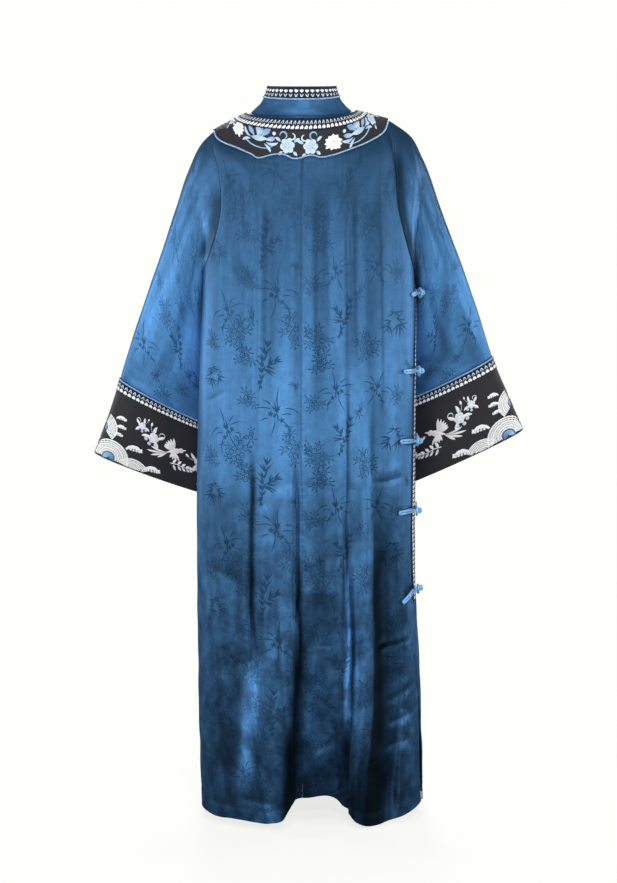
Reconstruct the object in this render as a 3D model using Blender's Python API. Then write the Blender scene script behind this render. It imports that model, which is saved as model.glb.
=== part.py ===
"""A long cheongsam robe with wide sleeves, worn and filled out, with nobody in it.

The origin is at the middle of the neck seam, +Z is up, the back faces -Y and the wearer's right is +X.
Sizes in this file are millimetres, and make_mesh turns them into metres.
"""

import math

import bpy
import numpy as np

MM = 0.001

# Cloth and gaps
WALL = 1.8  # lined satin
TRIM_WALL = 1.0  # woven ribbon
YOKE_WALL = 1.2  # embroidered black satin
COLLAR_WALL = 2.4  # stiffened stand collar
GAP = 0.3  # between pieces, at a seam or where one lies on another
PIPING = 1.4  # radius of the light blue piping

# Levels, measured down the centre back, near enough, from the neck seam
TIP_LEVEL = 66.0  # shoulder tip, where the sleeve begins
ARMPIT_LEVEL = 292.0
HEM_LEVEL = 1300.0
SLIT_LEVEL = 905.0  # below this the side edges are free
SLIT_GAP = 5.0  # between the free edges, at the hem

# The body as rings. Left and right are the wearer's; back and front are the depths at the centre.
FORM_COLUMNS = ("level", "x_left", "x_right", "z_left", "z_right", "back", "front", "z_front", "power")
FORM_ROWS = (
    (0, 94, 91, 0, 3, 75, 80, -28, 1.00),
    (34, 132, 128, -16, -4, 94, 97, -62, 0.95),
    (76, 168, 167, -39, -18, 110, 110, -104, 0.90),
    (125, 174, 186, -84, -68, 118, 121, -150, 0.86),
    (190, 177, 196, -156, -148, 122, 129, -208, 0.82),
    (262, 180, 203, -242, -238, 124, 133, -268, 0.78),
    (330, 183, 207, -330, -330, 126, 134, -330, 0.75),
    (430, 188, 208, -430, -430, 126, 134, -430, 0.75),
    (570, 193, 209, -570, -570, 126, 133, -570, 0.75),
    (835, 196, 211, -835, -835, 127, 132, -835, 0.75),
    (1105, 193, 222, -1105, -1105, 130, 132, -1105, 0.75),
    (1340, 190, 229, -1340, -1340, 132, 133, -1340, 0.75),
)
NECK_RISE = 9.0  # the neck seam stands this far above the origin
RISE_FADE = 280.0  # level at which that has faded out
DRAPE_POWER = 1.2  # how the neck and shoulder rings fall from the side to the centre

# Armholes: how far each reaches behind and in front of the shoulder line
ARMHOLES = {
    "left": {"angle": -90.0, "back": 74.0, "front": 70.0},
    "right": {"angle": 90.0, "back": 62.0, "front": 70.0},
}

# Folds: a soft trough runs down the cloth at x, from one level to the other, and fades out at its ends.
FOLD_COLUMNS = ("x_top", "x_end", "top", "end", "half_width", "depth")
BACK_FOLDS = (
    (-120, -108, 90, 300, 17, 9),
    (-52, -64, 95, 470, 19, 8),
    (44, 52, 100, 430, 19, 7),
    (112, 128, 100, 760, 21, 9),
    (150, 158, 660, 1420, 27, 20),
    (-90, -92, 790, 1060, 13, 9),
    (84, 84, 430, 1010, 13, -5),
    (-150, -128, 900, 1420, 24, 7),
)
FRONT_FOLDS = (
    (-70, -96, 180, 1400, 26, 11),
    (-20, -34, 420, 1420, 22, 9),
    (58, 40, 300, 1400, 26, 12),
    (120, 118, 520, 1420, 24, 13),
    (-140, -146, 600, 1420, 22, 10),
)
# The back hem falls in two lobes with a recess between them.
RECESS_COLUMNS = ("level", "depth", "left_x", "left_width", "right_x", "right_width")
RECESS_ROWS = (
    (860, 0, -4, 9, 60, 45),
    (940, 12, -5, 9, 66, 40),
    (1060, 26, -10, 11, 74, 30),
    (1180, 46, -20, 13, 80, 22),
    (1340, 66, -30, 11, 84, 18),
)
# How far the hem hangs below the hem level, across the back and across the front
BACK_HEM = (
    (-196, -12), (-165, -4), (-117, -3), (-60, -2), (-36, -8), (-14, -32), (14, -36), (60, -34), (86, -12), (112, 4),
    (140, 8), (180, 0), (229, -18),
)
FRONT_HEM = ((-196, -12), (-120, 2), (-40, -5), (50, 3), (130, -6), (229, -18))

# Opening of the front: from the neck at the centre front to just below the right armpit, then down the side
SIDE_OPENING_LEVEL = 317.0
OPENING_COLUMNS = ("level", "angle")
OPENING_ROWS = (
    (0, 180), (40, 173), (90, 160), (150, 144), (205, 129), (250, 118), (285, 104), (317, 90), (345, 86), (400, 83),
    (1340, 83),
)

# Sleeves: rings between an outer and an inner line. Reach is the distance down the outer line.
SLEEVE_COLUMNS = ("reach", "out_x", "out_y", "out_z", "in_x", "in_y", "in_z", "back", "front")
SLEEVE_ROWS = {
    "left": (
        (0, -161, 0, -27, -180, 0, -273, 74, 70),
        (30, -184, 0, -50, -188, 22, -279, 66, 66),
        (76, -208, 2, -100, -184, 58, -316, 54, 62),
        (141, -230, 8, -164, -186, 82, -380, 46, 58),
        (272, -271, 24, -289, -178, 106, -467, 42, 52),
        (400, -313, 40, -412, -170, 121, -551, 40, 46),
        (483, -338, 50, -489, -168, 130, -590, 38, 43),
        (560, -362, 50, -560, -169, 135, -656, 37, 41),
        (638, -389, 50, -630, -172, 140, -727, 36, 40),
    ),
    "right": (
        (0, 160, 0, -11, 204, 0, -271, 62, 70),
        (40, 200, 0, -39, 212, 22, -277, 60, 66),
        (78, 220, 2, -76, 209, 58, -312, 52, 62),
        (179, 256, 12, -173, 208, 86, -388, 44, 56),
        (290, 294, 26, -277, 194, 108, -460, 42, 52),
        (400, 329, 40, -379, 183, 124, -517, 40, 46),
        (474, 352, 50, -448, 180, 132, -546, 38, 43),
        (550, 382, 50, -516, 176, 137, -629, 37, 41),
        (627, 413, 50, -586, 174, 141, -715, 36, 40),
    ),
}
SLEEVE_END = {"left": 483.0, "right": 474.0}  # where the black cuff begins
CUFF_END = {"left": 638.0, "right": 627.0}
SLEEVE_POWER = 0.85
SHOULDER_FADE = 170.0  # reach over which the armhole's own shape passes into the sleeve's
CUFF_RIBBON = 19.0
CUFF_PIPING_ROOM = 4.6  # between the cuff's top and its ribbon

# Collar: rings from the neck seam up, with its ends at the centre front
COLLAR_COLUMNS = ("height", "x_left", "x_right", "back", "front", "z_left", "z_right", "z_back", "z_front")
COLLAR_ROWS = (
    (0, 93.0, 90.0, 74.0, 79.0, 0.7, 3.7, 0.7, -27.0),
    (9, 85, 82, 70, 75, 8, 10, 7, -20),
    (20, 77, 75, 66, 70, 16, 18, 15, -11),
    (36, 68, 67, 62.5, 65, 31, 32, 31, 3),
    (60, 62, 61, 60, 61, 49, 49, 52, 23),
)
COLLAR_TOP = 60.0
COLLAR_RIBBON_FOOT = 36.0
COLLAR_END_ANGLE = 178.2  # the two ends stand just apart at the centre front

# Yoke: a black band round the neck with a waved lower edge, given as the level of that edge
YOKE_TOP = 4.5
YOKE_COLUMNS = ("angle", "edge")
YOKE_ROWS = (
    (-184, 84), (-168, 84), (-158, 82), (-150, 76), (-142, 81), (-134, 80), (-122, 73), (-106, 68), (-98, 64.5),
    (-90, 64), (-82, 64.5), (-74, 68), (-52, 70), (-40, 74), (-31, 78), (-25, 71), (-18, 67.5), (-10, 70), (-3, 74),
    (3, 73), (8, 69), (14, 69.5), (21, 73), (32, 72), (44, 69), (60, 68), (74, 68), (82, 64.5), (90, 64),
    (98, 64.5), (106, 68), (122, 73), (134, 80), (142, 81), (150, 76), (160, 84),
)
YOKE_RIBBON = 20.0
YOKE_LIFT = 1.1  # the yoke bridges the small hollows of the shoulder
LAPEL_RIBBON = 20.0
LAPEL_RIBBON_LEVELS = (92.0, 895.0)

# Frog closures: a loop half on the upper edge of the opening, and a half with a ball on the lower one
FROG_STRAP = 44.0  # length of each strap
FROG_CORD = 2.1  # radius of the loop's cord
FROG_LOOP = 8.0  # radius of the loop's path round the neck of the ball
SIDE_FROG_LEVELS = (322, 461, 590, 720, 868)
SIDE_FROG_SLANT = (-32.0, 0.0, 0.0, 0.0, 0.0)  # degrees from square to the opening, which slants at the first
SIDE_FROG_TILT = (0.0, 0.0, 4.0, 2.0, -26.0)  # degrees, as they hang
CHEST_FROG_LEVEL = 150.0
NECK_FROG_LEVEL = 14.0
FROG_COLUMNS = ("along", "half_width", "half_height", "lift")
FROG_BALL_ROWS = (
    (44, 4.2, 0.9, 1.3),
    (42, 4.9, 1.3, 1.7),
    (20, 4.3, 1.3, 1.6),
    (10, 3.0, 1.3, 2.2),
    (5, 1.6, 1.4, 5.4),
    (2.4, 2.4, 2.4, 9.5),
    (0.2, 5.0, 5.0, 13.0),
    (-2.6, 5.2, 5.2, 15.4),
    (-5.0, 2.8, 2.8, 17.6),
)


MATERIALS = {
    "satin": ((0.060, 0.150, 0.300), 0.38),
    "black_satin": ((0.016, 0.017, 0.022), 0.62),
    "ribbon": ((0.010, 0.016, 0.040), 0.66),
    "piping": ((0.200, 0.420, 0.720), 0.42),
    "frog": ((0.230, 0.470, 0.780), 0.40),
}


def table(columns, rows):
    """A short table as one array for each named column."""
    return dict(zip(columns, np.array(rows, float).T))


def smooth(x, xs, ys):
    """A smooth curve through the table's points, held level outside them."""
    xs = np.asarray(xs, float)
    ys = np.asarray(ys, float)
    slope = np.gradient(ys, xs)
    x = np.clip(x, xs[0], xs[-1])
    i = np.clip(np.searchsorted(xs, x, side="right") - 1, 0, len(xs) - 2)
    step = xs[i + 1] - xs[i]
    t = (x - xs[i]) / step
    rise = ys[i + 1] - ys[i]
    bend = (1 - t) * (slope[i] * step - rise) - t * (slope[i + 1] * step - rise)
    return ys[i] + t * rise + t * (1 - t) * bend


def ease(t):
    """0 below 0, 1 above 1, and a soft step between."""
    t = np.clip(t, 0.0, 1.0)
    return t * t * (3 - 2 * t)


def unit(v):
    return v / np.maximum(np.linalg.norm(v, axis=-1, keepdims=True), 1e-12)


FORM = table(FORM_COLUMNS, FORM_ROWS)
FOLDS = {"back": table(FOLD_COLUMNS, BACK_FOLDS), "front": table(FOLD_COLUMNS, FRONT_FOLDS)}
RECESS = table(RECESS_COLUMNS, RECESS_ROWS)
OPENING = table(OPENING_COLUMNS, OPENING_ROWS)
SLEEVES = {side: table(SLEEVE_COLUMNS, rows) for side, rows in SLEEVE_ROWS.items()}
COLLAR = table(COLLAR_COLUMNS, COLLAR_ROWS)


def fold_depth(x, level, folds):
    """How far the cloth lies inside the plain form, from its table of folds."""
    depth = np.zeros_like(x)
    for x_top, x_end, top, end, half_width, deep in zip(*(folds[name] for name in FOLD_COLUMNS)):
        along = np.clip((level - top) / (end - top), 0, 1)
        middle = x_top + (x_end - x_top) * along
        fade = ease(along * 4) * ease((1 - along) * 4)
        depth = depth + deep * fade * np.exp(-(((x - middle) / half_width) ** 2))
    return depth


def recess_depth(x, level):
    """The flat recess between the two lobes of the back hem, deeper towards the hem."""
    row = {name: smooth(level, RECESS["level"], RECESS[name]) for name in RECESS_COLUMNS[1:]}
    left = ease(0.5 + (x - row["left_x"]) / row["left_width"] / 2)
    right = ease(0.5 - (x - row["right_x"]) / row["right_width"] / 2)
    return row["depth"] * left * right


def body_point(angle, level):
    """A point of the body's outer face: angle is 0 at the centre back, 90 at the right side, 180 in front."""
    angle, level = np.broadcast_arrays(np.asarray(angle, float), np.asarray(level, float))
    row = {name: smooth(level, FORM["level"], FORM[name]) for name in FORM_COLUMNS[1:]}
    side, behind = np.sin(np.radians(angle)), np.cos(np.radians(angle))
    half_width = np.where(side > 0, row["x_right"], row["x_left"])
    depth = np.where(behind > 0, row["back"], row["front"])
    z_side = np.where(side > 0, row["z_right"], row["z_left"])
    z_middle = np.where(behind > 0, -level, row["z_front"])
    x = half_width * side
    y = -np.sign(behind) * depth * np.abs(behind) ** row["power"]
    z = z_side + (z_middle - z_side) * np.abs(behind) ** DRAPE_POWER + NECK_RISE * (1 - ease(level / RISE_FADE))
    inward = np.where(
        behind > 0,
        fold_depth(x, level, FOLDS["back"]) + recess_depth(x, level),
        fold_depth(x, level, FOLDS["front"]),
    )
    # Folds die out at the side seams, so that the panels meet there.
    inward = inward * ease(np.abs(behind) / 0.45)
    return np.stack([x, y + np.sign(behind) * inward, z], axis=-1)


def armhole_angle(side, level, facing):
    """Where a panel ends at the armhole: an ellipse as seen from the side."""
    hole = ARMHOLES[side]
    t = np.clip((level - TIP_LEVEL) / (ARMPIT_LEVEL - TIP_LEVEL), 0, 1)
    reach = hole[facing] * 2 * np.sqrt(t * (1 - t))
    depth = smooth(level, FORM["level"], FORM[facing])
    power = smooth(level, FORM["level"], FORM["power"])
    turn = np.degrees(np.arccos((reach / depth) ** (1 / power)))
    return turn if facing == "back" else 180 - turn


def slit(level):
    """Half the gap between the free edges of a side slit, in degrees."""
    return 0.5 * SLIT_GAP * ease((level - SLIT_LEVEL) / (HEM_LEVEL - SLIT_LEVEL))


def opening_angle(level):
    """The opening's path, which stays clear of the armhole until it reaches the armpit."""
    path = smooth(level, OPENING["level"], OPENING["angle"])
    clear = armhole_angle("right", level, "front") + 2.0 * ease((ARMPIT_LEVEL - level) / 20)
    return np.where(level < ARMPIT_LEVEL, np.maximum(path, clear), path)


def hem_level(angle, level):
    """The row levels near the hem, moved so that the last one follows the hem's edge."""
    x = body_point(angle, HEM_LEVEL + 0 * angle)[..., 0]
    back = np.cos(np.radians(angle)) > 0
    drop = np.where(back, smooth(x, *zip(*BACK_HEM)), smooth(x, *zip(*FRONT_HEM)))
    return level + drop * ease((level - HEM_LEVEL + 220) / 220)


def sleeve_point(side, turn, reach):
    """A point of a sleeve's outer face: turn is 0 on the outer line, 90 behind and 180 on the inner line."""
    rows = SLEEVES[side]
    turn, reach = np.broadcast_arrays(np.asarray(turn, float), np.asarray(reach, float))

    def ring(at):
        row = {name: smooth(at, rows["reach"], rows[name]) for name in SLEEVE_COLUMNS[1:]}
        outer = np.stack([row["out_x"], row["out_y"], row["out_z"]], axis=-1)
        inner = np.stack([row["in_x"], row["in_y"], row["in_z"]], axis=-1)
        across = unit(outer - inner)
        behind = np.array([0.0, -1.0, 0.0])
        behind = unit(behind - across * (across @ behind)[..., None])
        c, s = np.cos(np.radians(turn)), np.sin(np.radians(turn))
        deep = np.where(s > 0, row["back"], row["front"]) * np.sign(s) * np.abs(s) ** SLEEVE_POWER
        return (outer + inner) / 2 + (outer - inner) / 2 * c[..., None] + behind * deep[..., None]

    start = armhole_loop(side, turn)
    fade = (1 - np.clip(reach / SHOULDER_FADE, 0, 1)) ** 2
    return ring(reach) + (start - ring(np.zeros_like(reach))) * fade[..., None]


def armhole_loop(side, turn):
    """The armhole's edge on the body: turn is 0 at the shoulder tip, 90 behind and 180 at the armpit."""
    c, s = np.cos(np.radians(turn)), np.sin(np.radians(turn))
    level = TIP_LEVEL + (ARMPIT_LEVEL - TIP_LEVEL) * (1 - c) / 2
    back, front = armhole_angle(side, level, "back"), armhole_angle(side, level, "front")
    angle = np.where(s > 0, back, front) * np.sign(ARMHOLES[side]["angle"])
    return body_point(angle, level)


def collar_point(angle, height):
    """A point of the collar's outer face: angle as on the body."""
    angle, height = np.broadcast_arrays(np.asarray(angle, float), np.asarray(height, float))
    row = {name: smooth(height, COLLAR["height"], COLLAR[name]) for name in COLLAR_COLUMNS[1:]}
    side, behind = np.sin(np.radians(angle)), np.cos(np.radians(angle))
    x = np.where(side > 0, row["x_right"], row["x_left"]) * side
    y = -np.where(behind > 0, row["back"], row["front"]) * behind
    z_side = np.where(side > 0, row["z_right"], row["z_left"])
    z_middle = np.where(behind > 0, row["z_back"], row["z_front"])
    z = z_side + (z_middle - z_side) * np.abs(behind) ** DRAPE_POWER + NECK_RISE
    return np.stack([x, y, z], axis=-1)


def normal_of(surface, u, v, outside, du=0.4, dv=0.4):
    """Outward unit normals of a surface, from small steps each way."""
    along_u = surface(u + du, v) - surface(u - du, v)
    along_v = surface(u, v + dv) - surface(u, np.maximum(v - dv, 0))
    return unit(np.cross(along_u, along_v)) * outside


def make_mesh(name, points, faces, material):
    """One closed solid as its own object, with its faces pointing out."""
    mesh = bpy.data.meshes.new(name)
    mesh.from_pydata([tuple(p) for p in points * MM], [], faces)
    mesh.validate()
    corners = points[np.array([(f[0], f[i], f[i + 1]) for f in faces for i in range(1, len(f) - 1)])]
    if np.einsum("ij,ij->i", corners[:, 0], np.cross(corners[:, 1], corners[:, 2])).sum() < 0:
        mesh.flip_normals()
    mesh.shade_smooth()
    mesh.set_sharp_from_angle(angle=math.radians(50))
    mesh.materials.append(material)
    solid = bpy.data.objects.new(name, mesh)
    bpy.context.scene.collection.objects.link(solid)
    return solid


def make_wall(name, outer, inner, material, closed=False):
    """Cloth as a closed wall between two grids of points, cut off at its edges or closed into a tube."""
    rows, columns = outer.shape[:2]
    count = rows * columns
    grid = np.arange(count).reshape(rows, columns)
    if closed:
        grid = np.concatenate([grid, grid[:, :1]], axis=1)
    a, b, c, d = (part.ravel() for part in (grid[:-1, :-1], grid[:-1, 1:], grid[1:, 1:], grid[1:, :-1]))
    outside = np.concatenate([np.stack([a, b, c], axis=1), np.stack([a, c, d], axis=1)])
    faces = [tuple(f) for f in outside] + [tuple(f) for f in outside[:, ::-1] + count]
    edges = [(grid[0], False), (grid[-1], True)]
    if not closed:
        edges += [(grid[:, 0], True), (grid[:, -1], False)]
    for edge, flipped in edges:
        for p, q in zip(edge[:-1], edge[1:]):
            rim = (q, p, p + count, q + count)
            faces.append(rim[::-1] if flipped else rim)
    points = np.concatenate([outer.reshape(-1, 3), inner.reshape(-1, 3)])
    return make_mesh(name, points, [tuple(int(i) for i in f) for f in faces], material)


def seam_inset(left=0.0, right=0.0, top=0.0, foot=0.0):
    """Moves a sheet's edges back from its seams by these distances."""

    def edges(base):
        move = np.zeros_like(base)
        for edge, beside, size in (
            (np.s_[:, 0], np.s_[:, 1], left),
            (np.s_[:, -1], np.s_[:, -2], right),
            (np.s_[0], np.s_[1], top),
            (np.s_[-1], np.s_[-2], foot),
        ):
            if size:
                move[edge] += unit(base[beside] - base[edge]) * size
        return move

    return edges


def make_tube(name, rings, material, closed=False):
    """A solid from a row of rings of points, each ring closed, capped at both ends unless it joins up."""
    count, sides = rings.shape[:2]
    faces = []
    for i in range(count if closed else count - 1):
        here, there = i * sides, (i + 1) % count * sides
        faces += [(here + j, here + (j + 1) % sides, there + (j + 1) % sides, there + j) for j in range(sides)]
    if not closed:
        faces.append(tuple(range(sides))[::-1])
        faces.append(tuple(range((count - 1) * sides, count * sides)))
    return make_mesh(name, rings.reshape(-1, 3), faces, material)


def make_cord(name, centres, normals, material, closed=False, radius=PIPING, sides=6):
    """A thin round cord along a line of points, with a direction across it at each."""
    if closed:
        along = unit(np.roll(centres, -1, axis=0) - np.roll(centres, 1, axis=0))
    else:
        along = unit(np.gradient(centres, axis=0))
    across = unit(np.cross(along, normals))
    up = np.cross(across, along)
    turn = np.radians(np.arange(sides) * 360 / sides)[None, :, None]
    rings = centres[:, None] + radius * (np.cos(turn) * across[:, None] + np.sin(turn) * up[:, None])
    return make_tube(name, rings, material, closed)


def walk(surface, u, v, direction, distance, steps=4):
    """The parameters reached from u, v after a walk on a surface, in a direction given in space."""
    for step in range(steps):
        along_u = (surface(u + 0.4, v) - surface(u - 0.4, v)) / 0.8
        along_v = (surface(u, v + 0.4) - surface(u, v - 0.4)) / 0.8
        uu, uv, vv = ((p * q).sum(-1) for p, q in ((along_u, along_u), (along_u, along_v), (along_v, along_v)))
        bu, bv = (along_u * direction).sum(-1), (along_v * direction).sum(-1)
        share = distance / steps / (uu * vv - uv * uv)
        u, v = u + (bu * vv - bv * uv) * share, v + (bv * uu - bu * uv) * share
    return u, v


def make_material(name):
    colour, roughness = MATERIALS[name]
    material = bpy.data.materials.new(name)
    material.use_nodes = True
    shader = material.node_tree.nodes["Principled BSDF"]
    shader.inputs["Base Color"].default_value = (*colour, 1.0)
    shader.inputs["Roughness"].default_value = roughness
    shader.inputs["Metallic"].default_value = 0.0
    return material


# Row levels that every body panel shares
NECK_LEVELS = (0, YOKE_TOP + 1 + YOKE_RIBBON, 55)
ARMHOLE_ROWS = 10
ARMHOLE_TURNS = np.linspace(0, 180, ARMHOLE_ROWS + 1)
ARMHOLE_LEVELS = TIP_LEVEL + (ARMPIT_LEVEL - TIP_LEVEL) * (1 - np.cos(np.radians(ARMHOLE_TURNS))) / 2
SKIRT_LEVELS = (305, 330, 385, 450, 525, 605, 690, 775, 860, 935, 1005, 1070, 1135, 1200, 1255, HEM_LEVEL)
PANEL_LEVELS = np.concatenate([NECK_LEVELS, ARMHOLE_LEVELS, SKIRT_LEVELS])
BACK_COLUMNS = 11
FRONT_COLUMNS = 15
SIDE_COLUMNS = 7
PANELS = {}


def side_edge(side, facing, level):
    """The angle at which a panel ends at one side: shoulder seam, armhole, then side seam."""
    in_armhole = (level > TIP_LEVEL) & (level < ARMPIT_LEVEL)
    seam = np.where((level > SIDE_OPENING_LEVEL) & (side == "right"), opening_angle(level), 90.0)
    free = slit(level) / 2 * (-1 if facing == "back" else 1)
    angle = np.where(in_armhole, armhole_angle(side, level, facing), seam + free)
    return 360 - angle if side == "left" else angle


def make_panel(name, angle, material, levels=PANEL_LEVELS):
    """A body panel from the angles of its columns in each row, with its seams inset."""
    level = hem_level(angle, np.broadcast_to(levels[:, None], angle.shape))
    points, normals = body_point(angle, level), normal_of(body_point, angle, level, -1)
    PANELS[name] = (levels, points, normals)
    move = seam_inset(GAP / 2 + 0.15, GAP / 2 + 0.15, top=GAP / 2)(points)
    make_wall(name, points + move, points + move - normals * WALL, material)


def spread(start, end, columns):
    """Angles spaced evenly between the two edges of a panel, row by row."""
    return start[:, None] + (end - start)[:, None] * np.linspace(0, 1, columns + 1)


def make_body(cloth):
    """Two back panels, the wide front panel and the small one behind the opening."""
    level = PANEL_LEVELS
    centre = np.full_like(level, 360.0)
    left_back, left_front = (side_edge("left", facing, level) for facing in ("back", "front"))
    right_back, right_front = (side_edge("right", facing, level) for facing in ("back", "front"))
    make_panel("back_left", spread(left_back, centre, BACK_COLUMNS), cloth)
    make_panel("back_right", spread(centre, right_back + 360, BACK_COLUMNS), cloth)
    edge = np.where(level < SIDE_OPENING_LEVEL, opening_angle(level), right_front)
    beside = edge + ribbon_turn(level)
    make_panel("front_main", np.hstack([edge[:, None], spread(beside, left_front, FRONT_COLUMNS)]), cloth)
    upper = level < SIDE_OPENING_LEVEL - 8
    side = spread(right_front[upper], opening_angle(level[upper]), SIDE_COLUMNS)
    make_panel("front_side", side, cloth, levels=level[upper])


def ribbon_turn(level):
    """The turn from the opening to a line one ribbon's width away from it."""
    angle = opening_angle(level)
    across = body_point(angle + 0.5, level) - body_point(angle - 0.5, level)
    along = unit(body_point(opening_angle(level + 2), level + 2) - body_point(opening_angle(level - 2), level - 2))
    square = across - along * (across * along).sum(-1, keepdims=True)
    return (LAPEL_RIBBON + 2.0) / np.linalg.norm(square, axis=-1)


def on_panel(name, column, level):
    """Points and normals on the flat faces of a panel, at parts of its columns and at levels."""
    levels, points, normals = PANELS[name]
    column, level = np.broadcast_arrays(np.asarray(column, float), np.asarray(level, float))
    i = np.clip(np.searchsorted(levels, level, side="right") - 1, 0, len(levels) - 2)
    j = np.clip(column.astype(int), 0, points.shape[1] - 2)
    t = ((level - levels[i]) / (levels[i + 1] - levels[i]))[..., None]
    s = (column - j)[..., None]
    mixed = []
    for grid in (points, normals):
        first, beside, far, below = grid[i, j], grid[i, j + 1], grid[i + 1, j + 1], grid[i + 1, j]
        upper = first + s * (beside - first) + t * (far - beside)
        lower = first + t * (below - first) + s * (far - below)
        mixed.append(np.where(s > t, upper, lower))
    return mixed[0], unit(mixed[1])


def lay(name, points, normals, lift, wall, material, closed=False, inset=0.0):
    """Trim laid on a grid of points, a lift above them."""
    move = seam_inset(inset, inset)(points) if inset else 0.0
    low = points + normals * lift + move
    make_wall(name, low + normals * wall, low, material, closed)


def make_sleeves(cloth, black, ribbon, cord):
    """Two sleeves with their black cuffs, each cuff with a piping and a ribbon at its top."""
    turn = np.arange(0, 360, 18.0)
    spans = np.array((0, 7, 20, 38, 60, 88, 120, 156, 196, 240, 285, 330, 375, 425))
    for side in ("left", "right"):
        surface = lambda u, v, side=side: sleeve_point(side, u, v)
        outside = 1
        start = SLEEVE_END[side]
        reach = np.append(spans, start - GAP)
        u, v = np.meshgrid(turn, reach)
        outer = surface(u, v)
        normal = normal_of(surface, u, v, outside)
        centre = outer.mean(axis=1, keepdims=True)
        if ((outer - centre) * normal).sum() < 0:
            outside = -1
            normal = -normal
        # The first ring stands clear of the armhole, and its wall leans as the body's edge does.
        body_turn = armhole_normal(side, turn)
        lean = ease(((normal[0] * body_turn).sum(-1, keepdims=True) + 0.1) / 0.6)
        normal[0] = unit(normal[0] * (1 - lean) + body_turn * lean)
        # Under the arm it leaves room for the ribbon of the opening.
        underarm = np.maximum(-np.cos(np.radians(turn)), 0)[:, None] ** 4
        outer[0] += unit(outer[1] - outer[0]) * (GAP + 0.1 + 1.4 * underarm)
        make_wall("sleeve_" + side, outer, outer - normal * WALL, cloth, closed=True)
        band = start + CUFF_PIPING_ROOM
        reach = np.concatenate([[start + GAP, band], np.linspace(band + CUFF_RIBBON, CUFF_END[side], 5)])
        u, v = np.meshgrid(turn, reach)
        points, normal = surface(u, v), normal_of(surface, u, v, outside)
        make_wall("cuff_" + side, points, points - normal * WALL, black, closed=True)
        lay("cuff_ribbon_" + side, points[1:3], normal[1:3], GAP, TRIM_WALL, ribbon, closed=True)
        line, lean = (grid[:2].mean(axis=0) for grid in (points, normal))
        make_cord("cuff_piping_" + side, line + unit(lean) * (PIPING + GAP), lean, cord, closed=True)


def armhole_normal(side, turn):
    """The body's outward normals round an armhole."""
    c, s = np.cos(np.radians(turn)), np.sin(np.radians(turn))
    level = TIP_LEVEL + (ARMPIT_LEVEL - TIP_LEVEL) * (1 - c) / 2
    back, front = armhole_angle(side, level, "back"), armhole_angle(side, level, "front")
    angle = np.where(s > 0, back, front) * np.sign(ARMHOLES[side]["angle"])
    return normal_of(body_point, angle, level, -1)


def make_collar(cloth, ribbon, cord):
    """The stand collar, open at the centre front, with its ribbon and piping."""
    angle = np.linspace(-COLLAR_END_ANGLE, COLLAR_END_ANGLE, 33)
    u, v = np.meshgrid(angle, np.array((0, 9, 22, COLLAR_RIBBON_FOOT, COLLAR_TOP)))
    points, normals = collar_point(u, v), normal_of(collar_point, u, v, 1)
    make_wall("collar", points, points - normals * COLLAR_WALL, cloth)
    lay("collar_ribbon", points[3:], normals[3:], GAP, TRIM_WALL, ribbon)
    share = (PIPING + 0.4) / (COLLAR_RIBBON_FOOT - 22)
    line, lean = (grid[3] * (1 - share) + grid[2] * share for grid in (points, normals))
    make_cord("collar_piping", line + unit(lean) * (PIPING + GAP), lean, cord)


def round_neck(halves):
    """The columns of all four panels in turn, from the opening's upper edge round to its lower one."""
    for name, first, columns in (
        ("front_main", 0, FRONT_COLUMNS + 1),
        ("back_left", 1, BACK_COLUMNS),
        ("back_right", 1, BACK_COLUMNS),
        ("front_side", 1, SIDE_COLUMNS),
    ):
        for step in range(first, columns * halves + 1):
            yield name, step / halves


def yoke_strip(rows, halves=2):
    """Points and normals over the panels: rows gives the levels down each column, from that of the edge."""
    grid = []
    for name, column in round_neck(halves):
        place = on_panel(name, column, 60.0)[0]
        angle = math.degrees(math.atan2(place[0], -place[1]))
        edge = float(smooth(angle if angle > -176 else angle + 360, *zip(*YOKE_ROWS)))
        grid.append(on_panel(name, column, np.array(rows(edge), float)))
    points, normals = zip(*grid)
    return np.stack(points, axis=1), np.stack(normals, axis=1)


def make_yoke(black, ribbon, cord):
    """The black yoke round the neck, its ribbon, and the piping on its waved edge."""
    inset = GAP / 2 + 0.05
    below = YOKE_TOP + 1 + YOKE_RIBBON
    bend = float(ARMHOLE_LEVELS[1])

    def rows(edge):
        if edge < TIP_LEVEL + 1:
            return (YOKE_TOP, below, 55, (110 + edge) / 3, (55 + 2 * edge) / 3, edge)
        return (YOKE_TOP, below, 55, TIP_LEVEL, bend if edge > bend + 1.5 else (TIP_LEVEL + edge) / 2, edge)

    points, normals = yoke_strip(rows)
    lay("yoke", points, normals, YOKE_LIFT, YOKE_WALL, black, inset=inset)
    points, normals = yoke_strip(lambda edge: (YOKE_TOP + 1, below))
    lay("yoke_ribbon", points, normals, YOKE_LIFT + YOKE_WALL + GAP, TRIM_WALL, ribbon, inset=inset)
    points, normals = yoke_strip(lambda edge: (edge - PIPING,))
    line = points[0] + normals[0] * (YOKE_LIFT + YOKE_WALL + GAP + PIPING)
    make_cord("yoke_piping", line[1:-1], normals[0, 1:-1], cord, sides=5)


def opening_frame(level, slant=0.0):
    """At the opening: the angle, and unit directions down along it and out over the front panel, both turned by slant."""
    angle = opening_angle(level)
    along = unit(body_point(opening_angle(level + 1.0), level + 1.0) - body_point(opening_angle(level - 1.0), level - 1.0))
    normal = normal_of(body_point, angle, level, -1)
    over = np.cross(normal, along)
    c, s = math.cos(math.radians(slant)), math.sin(math.radians(slant))
    return angle, along * c - over * s, over * c + along * s


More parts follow.
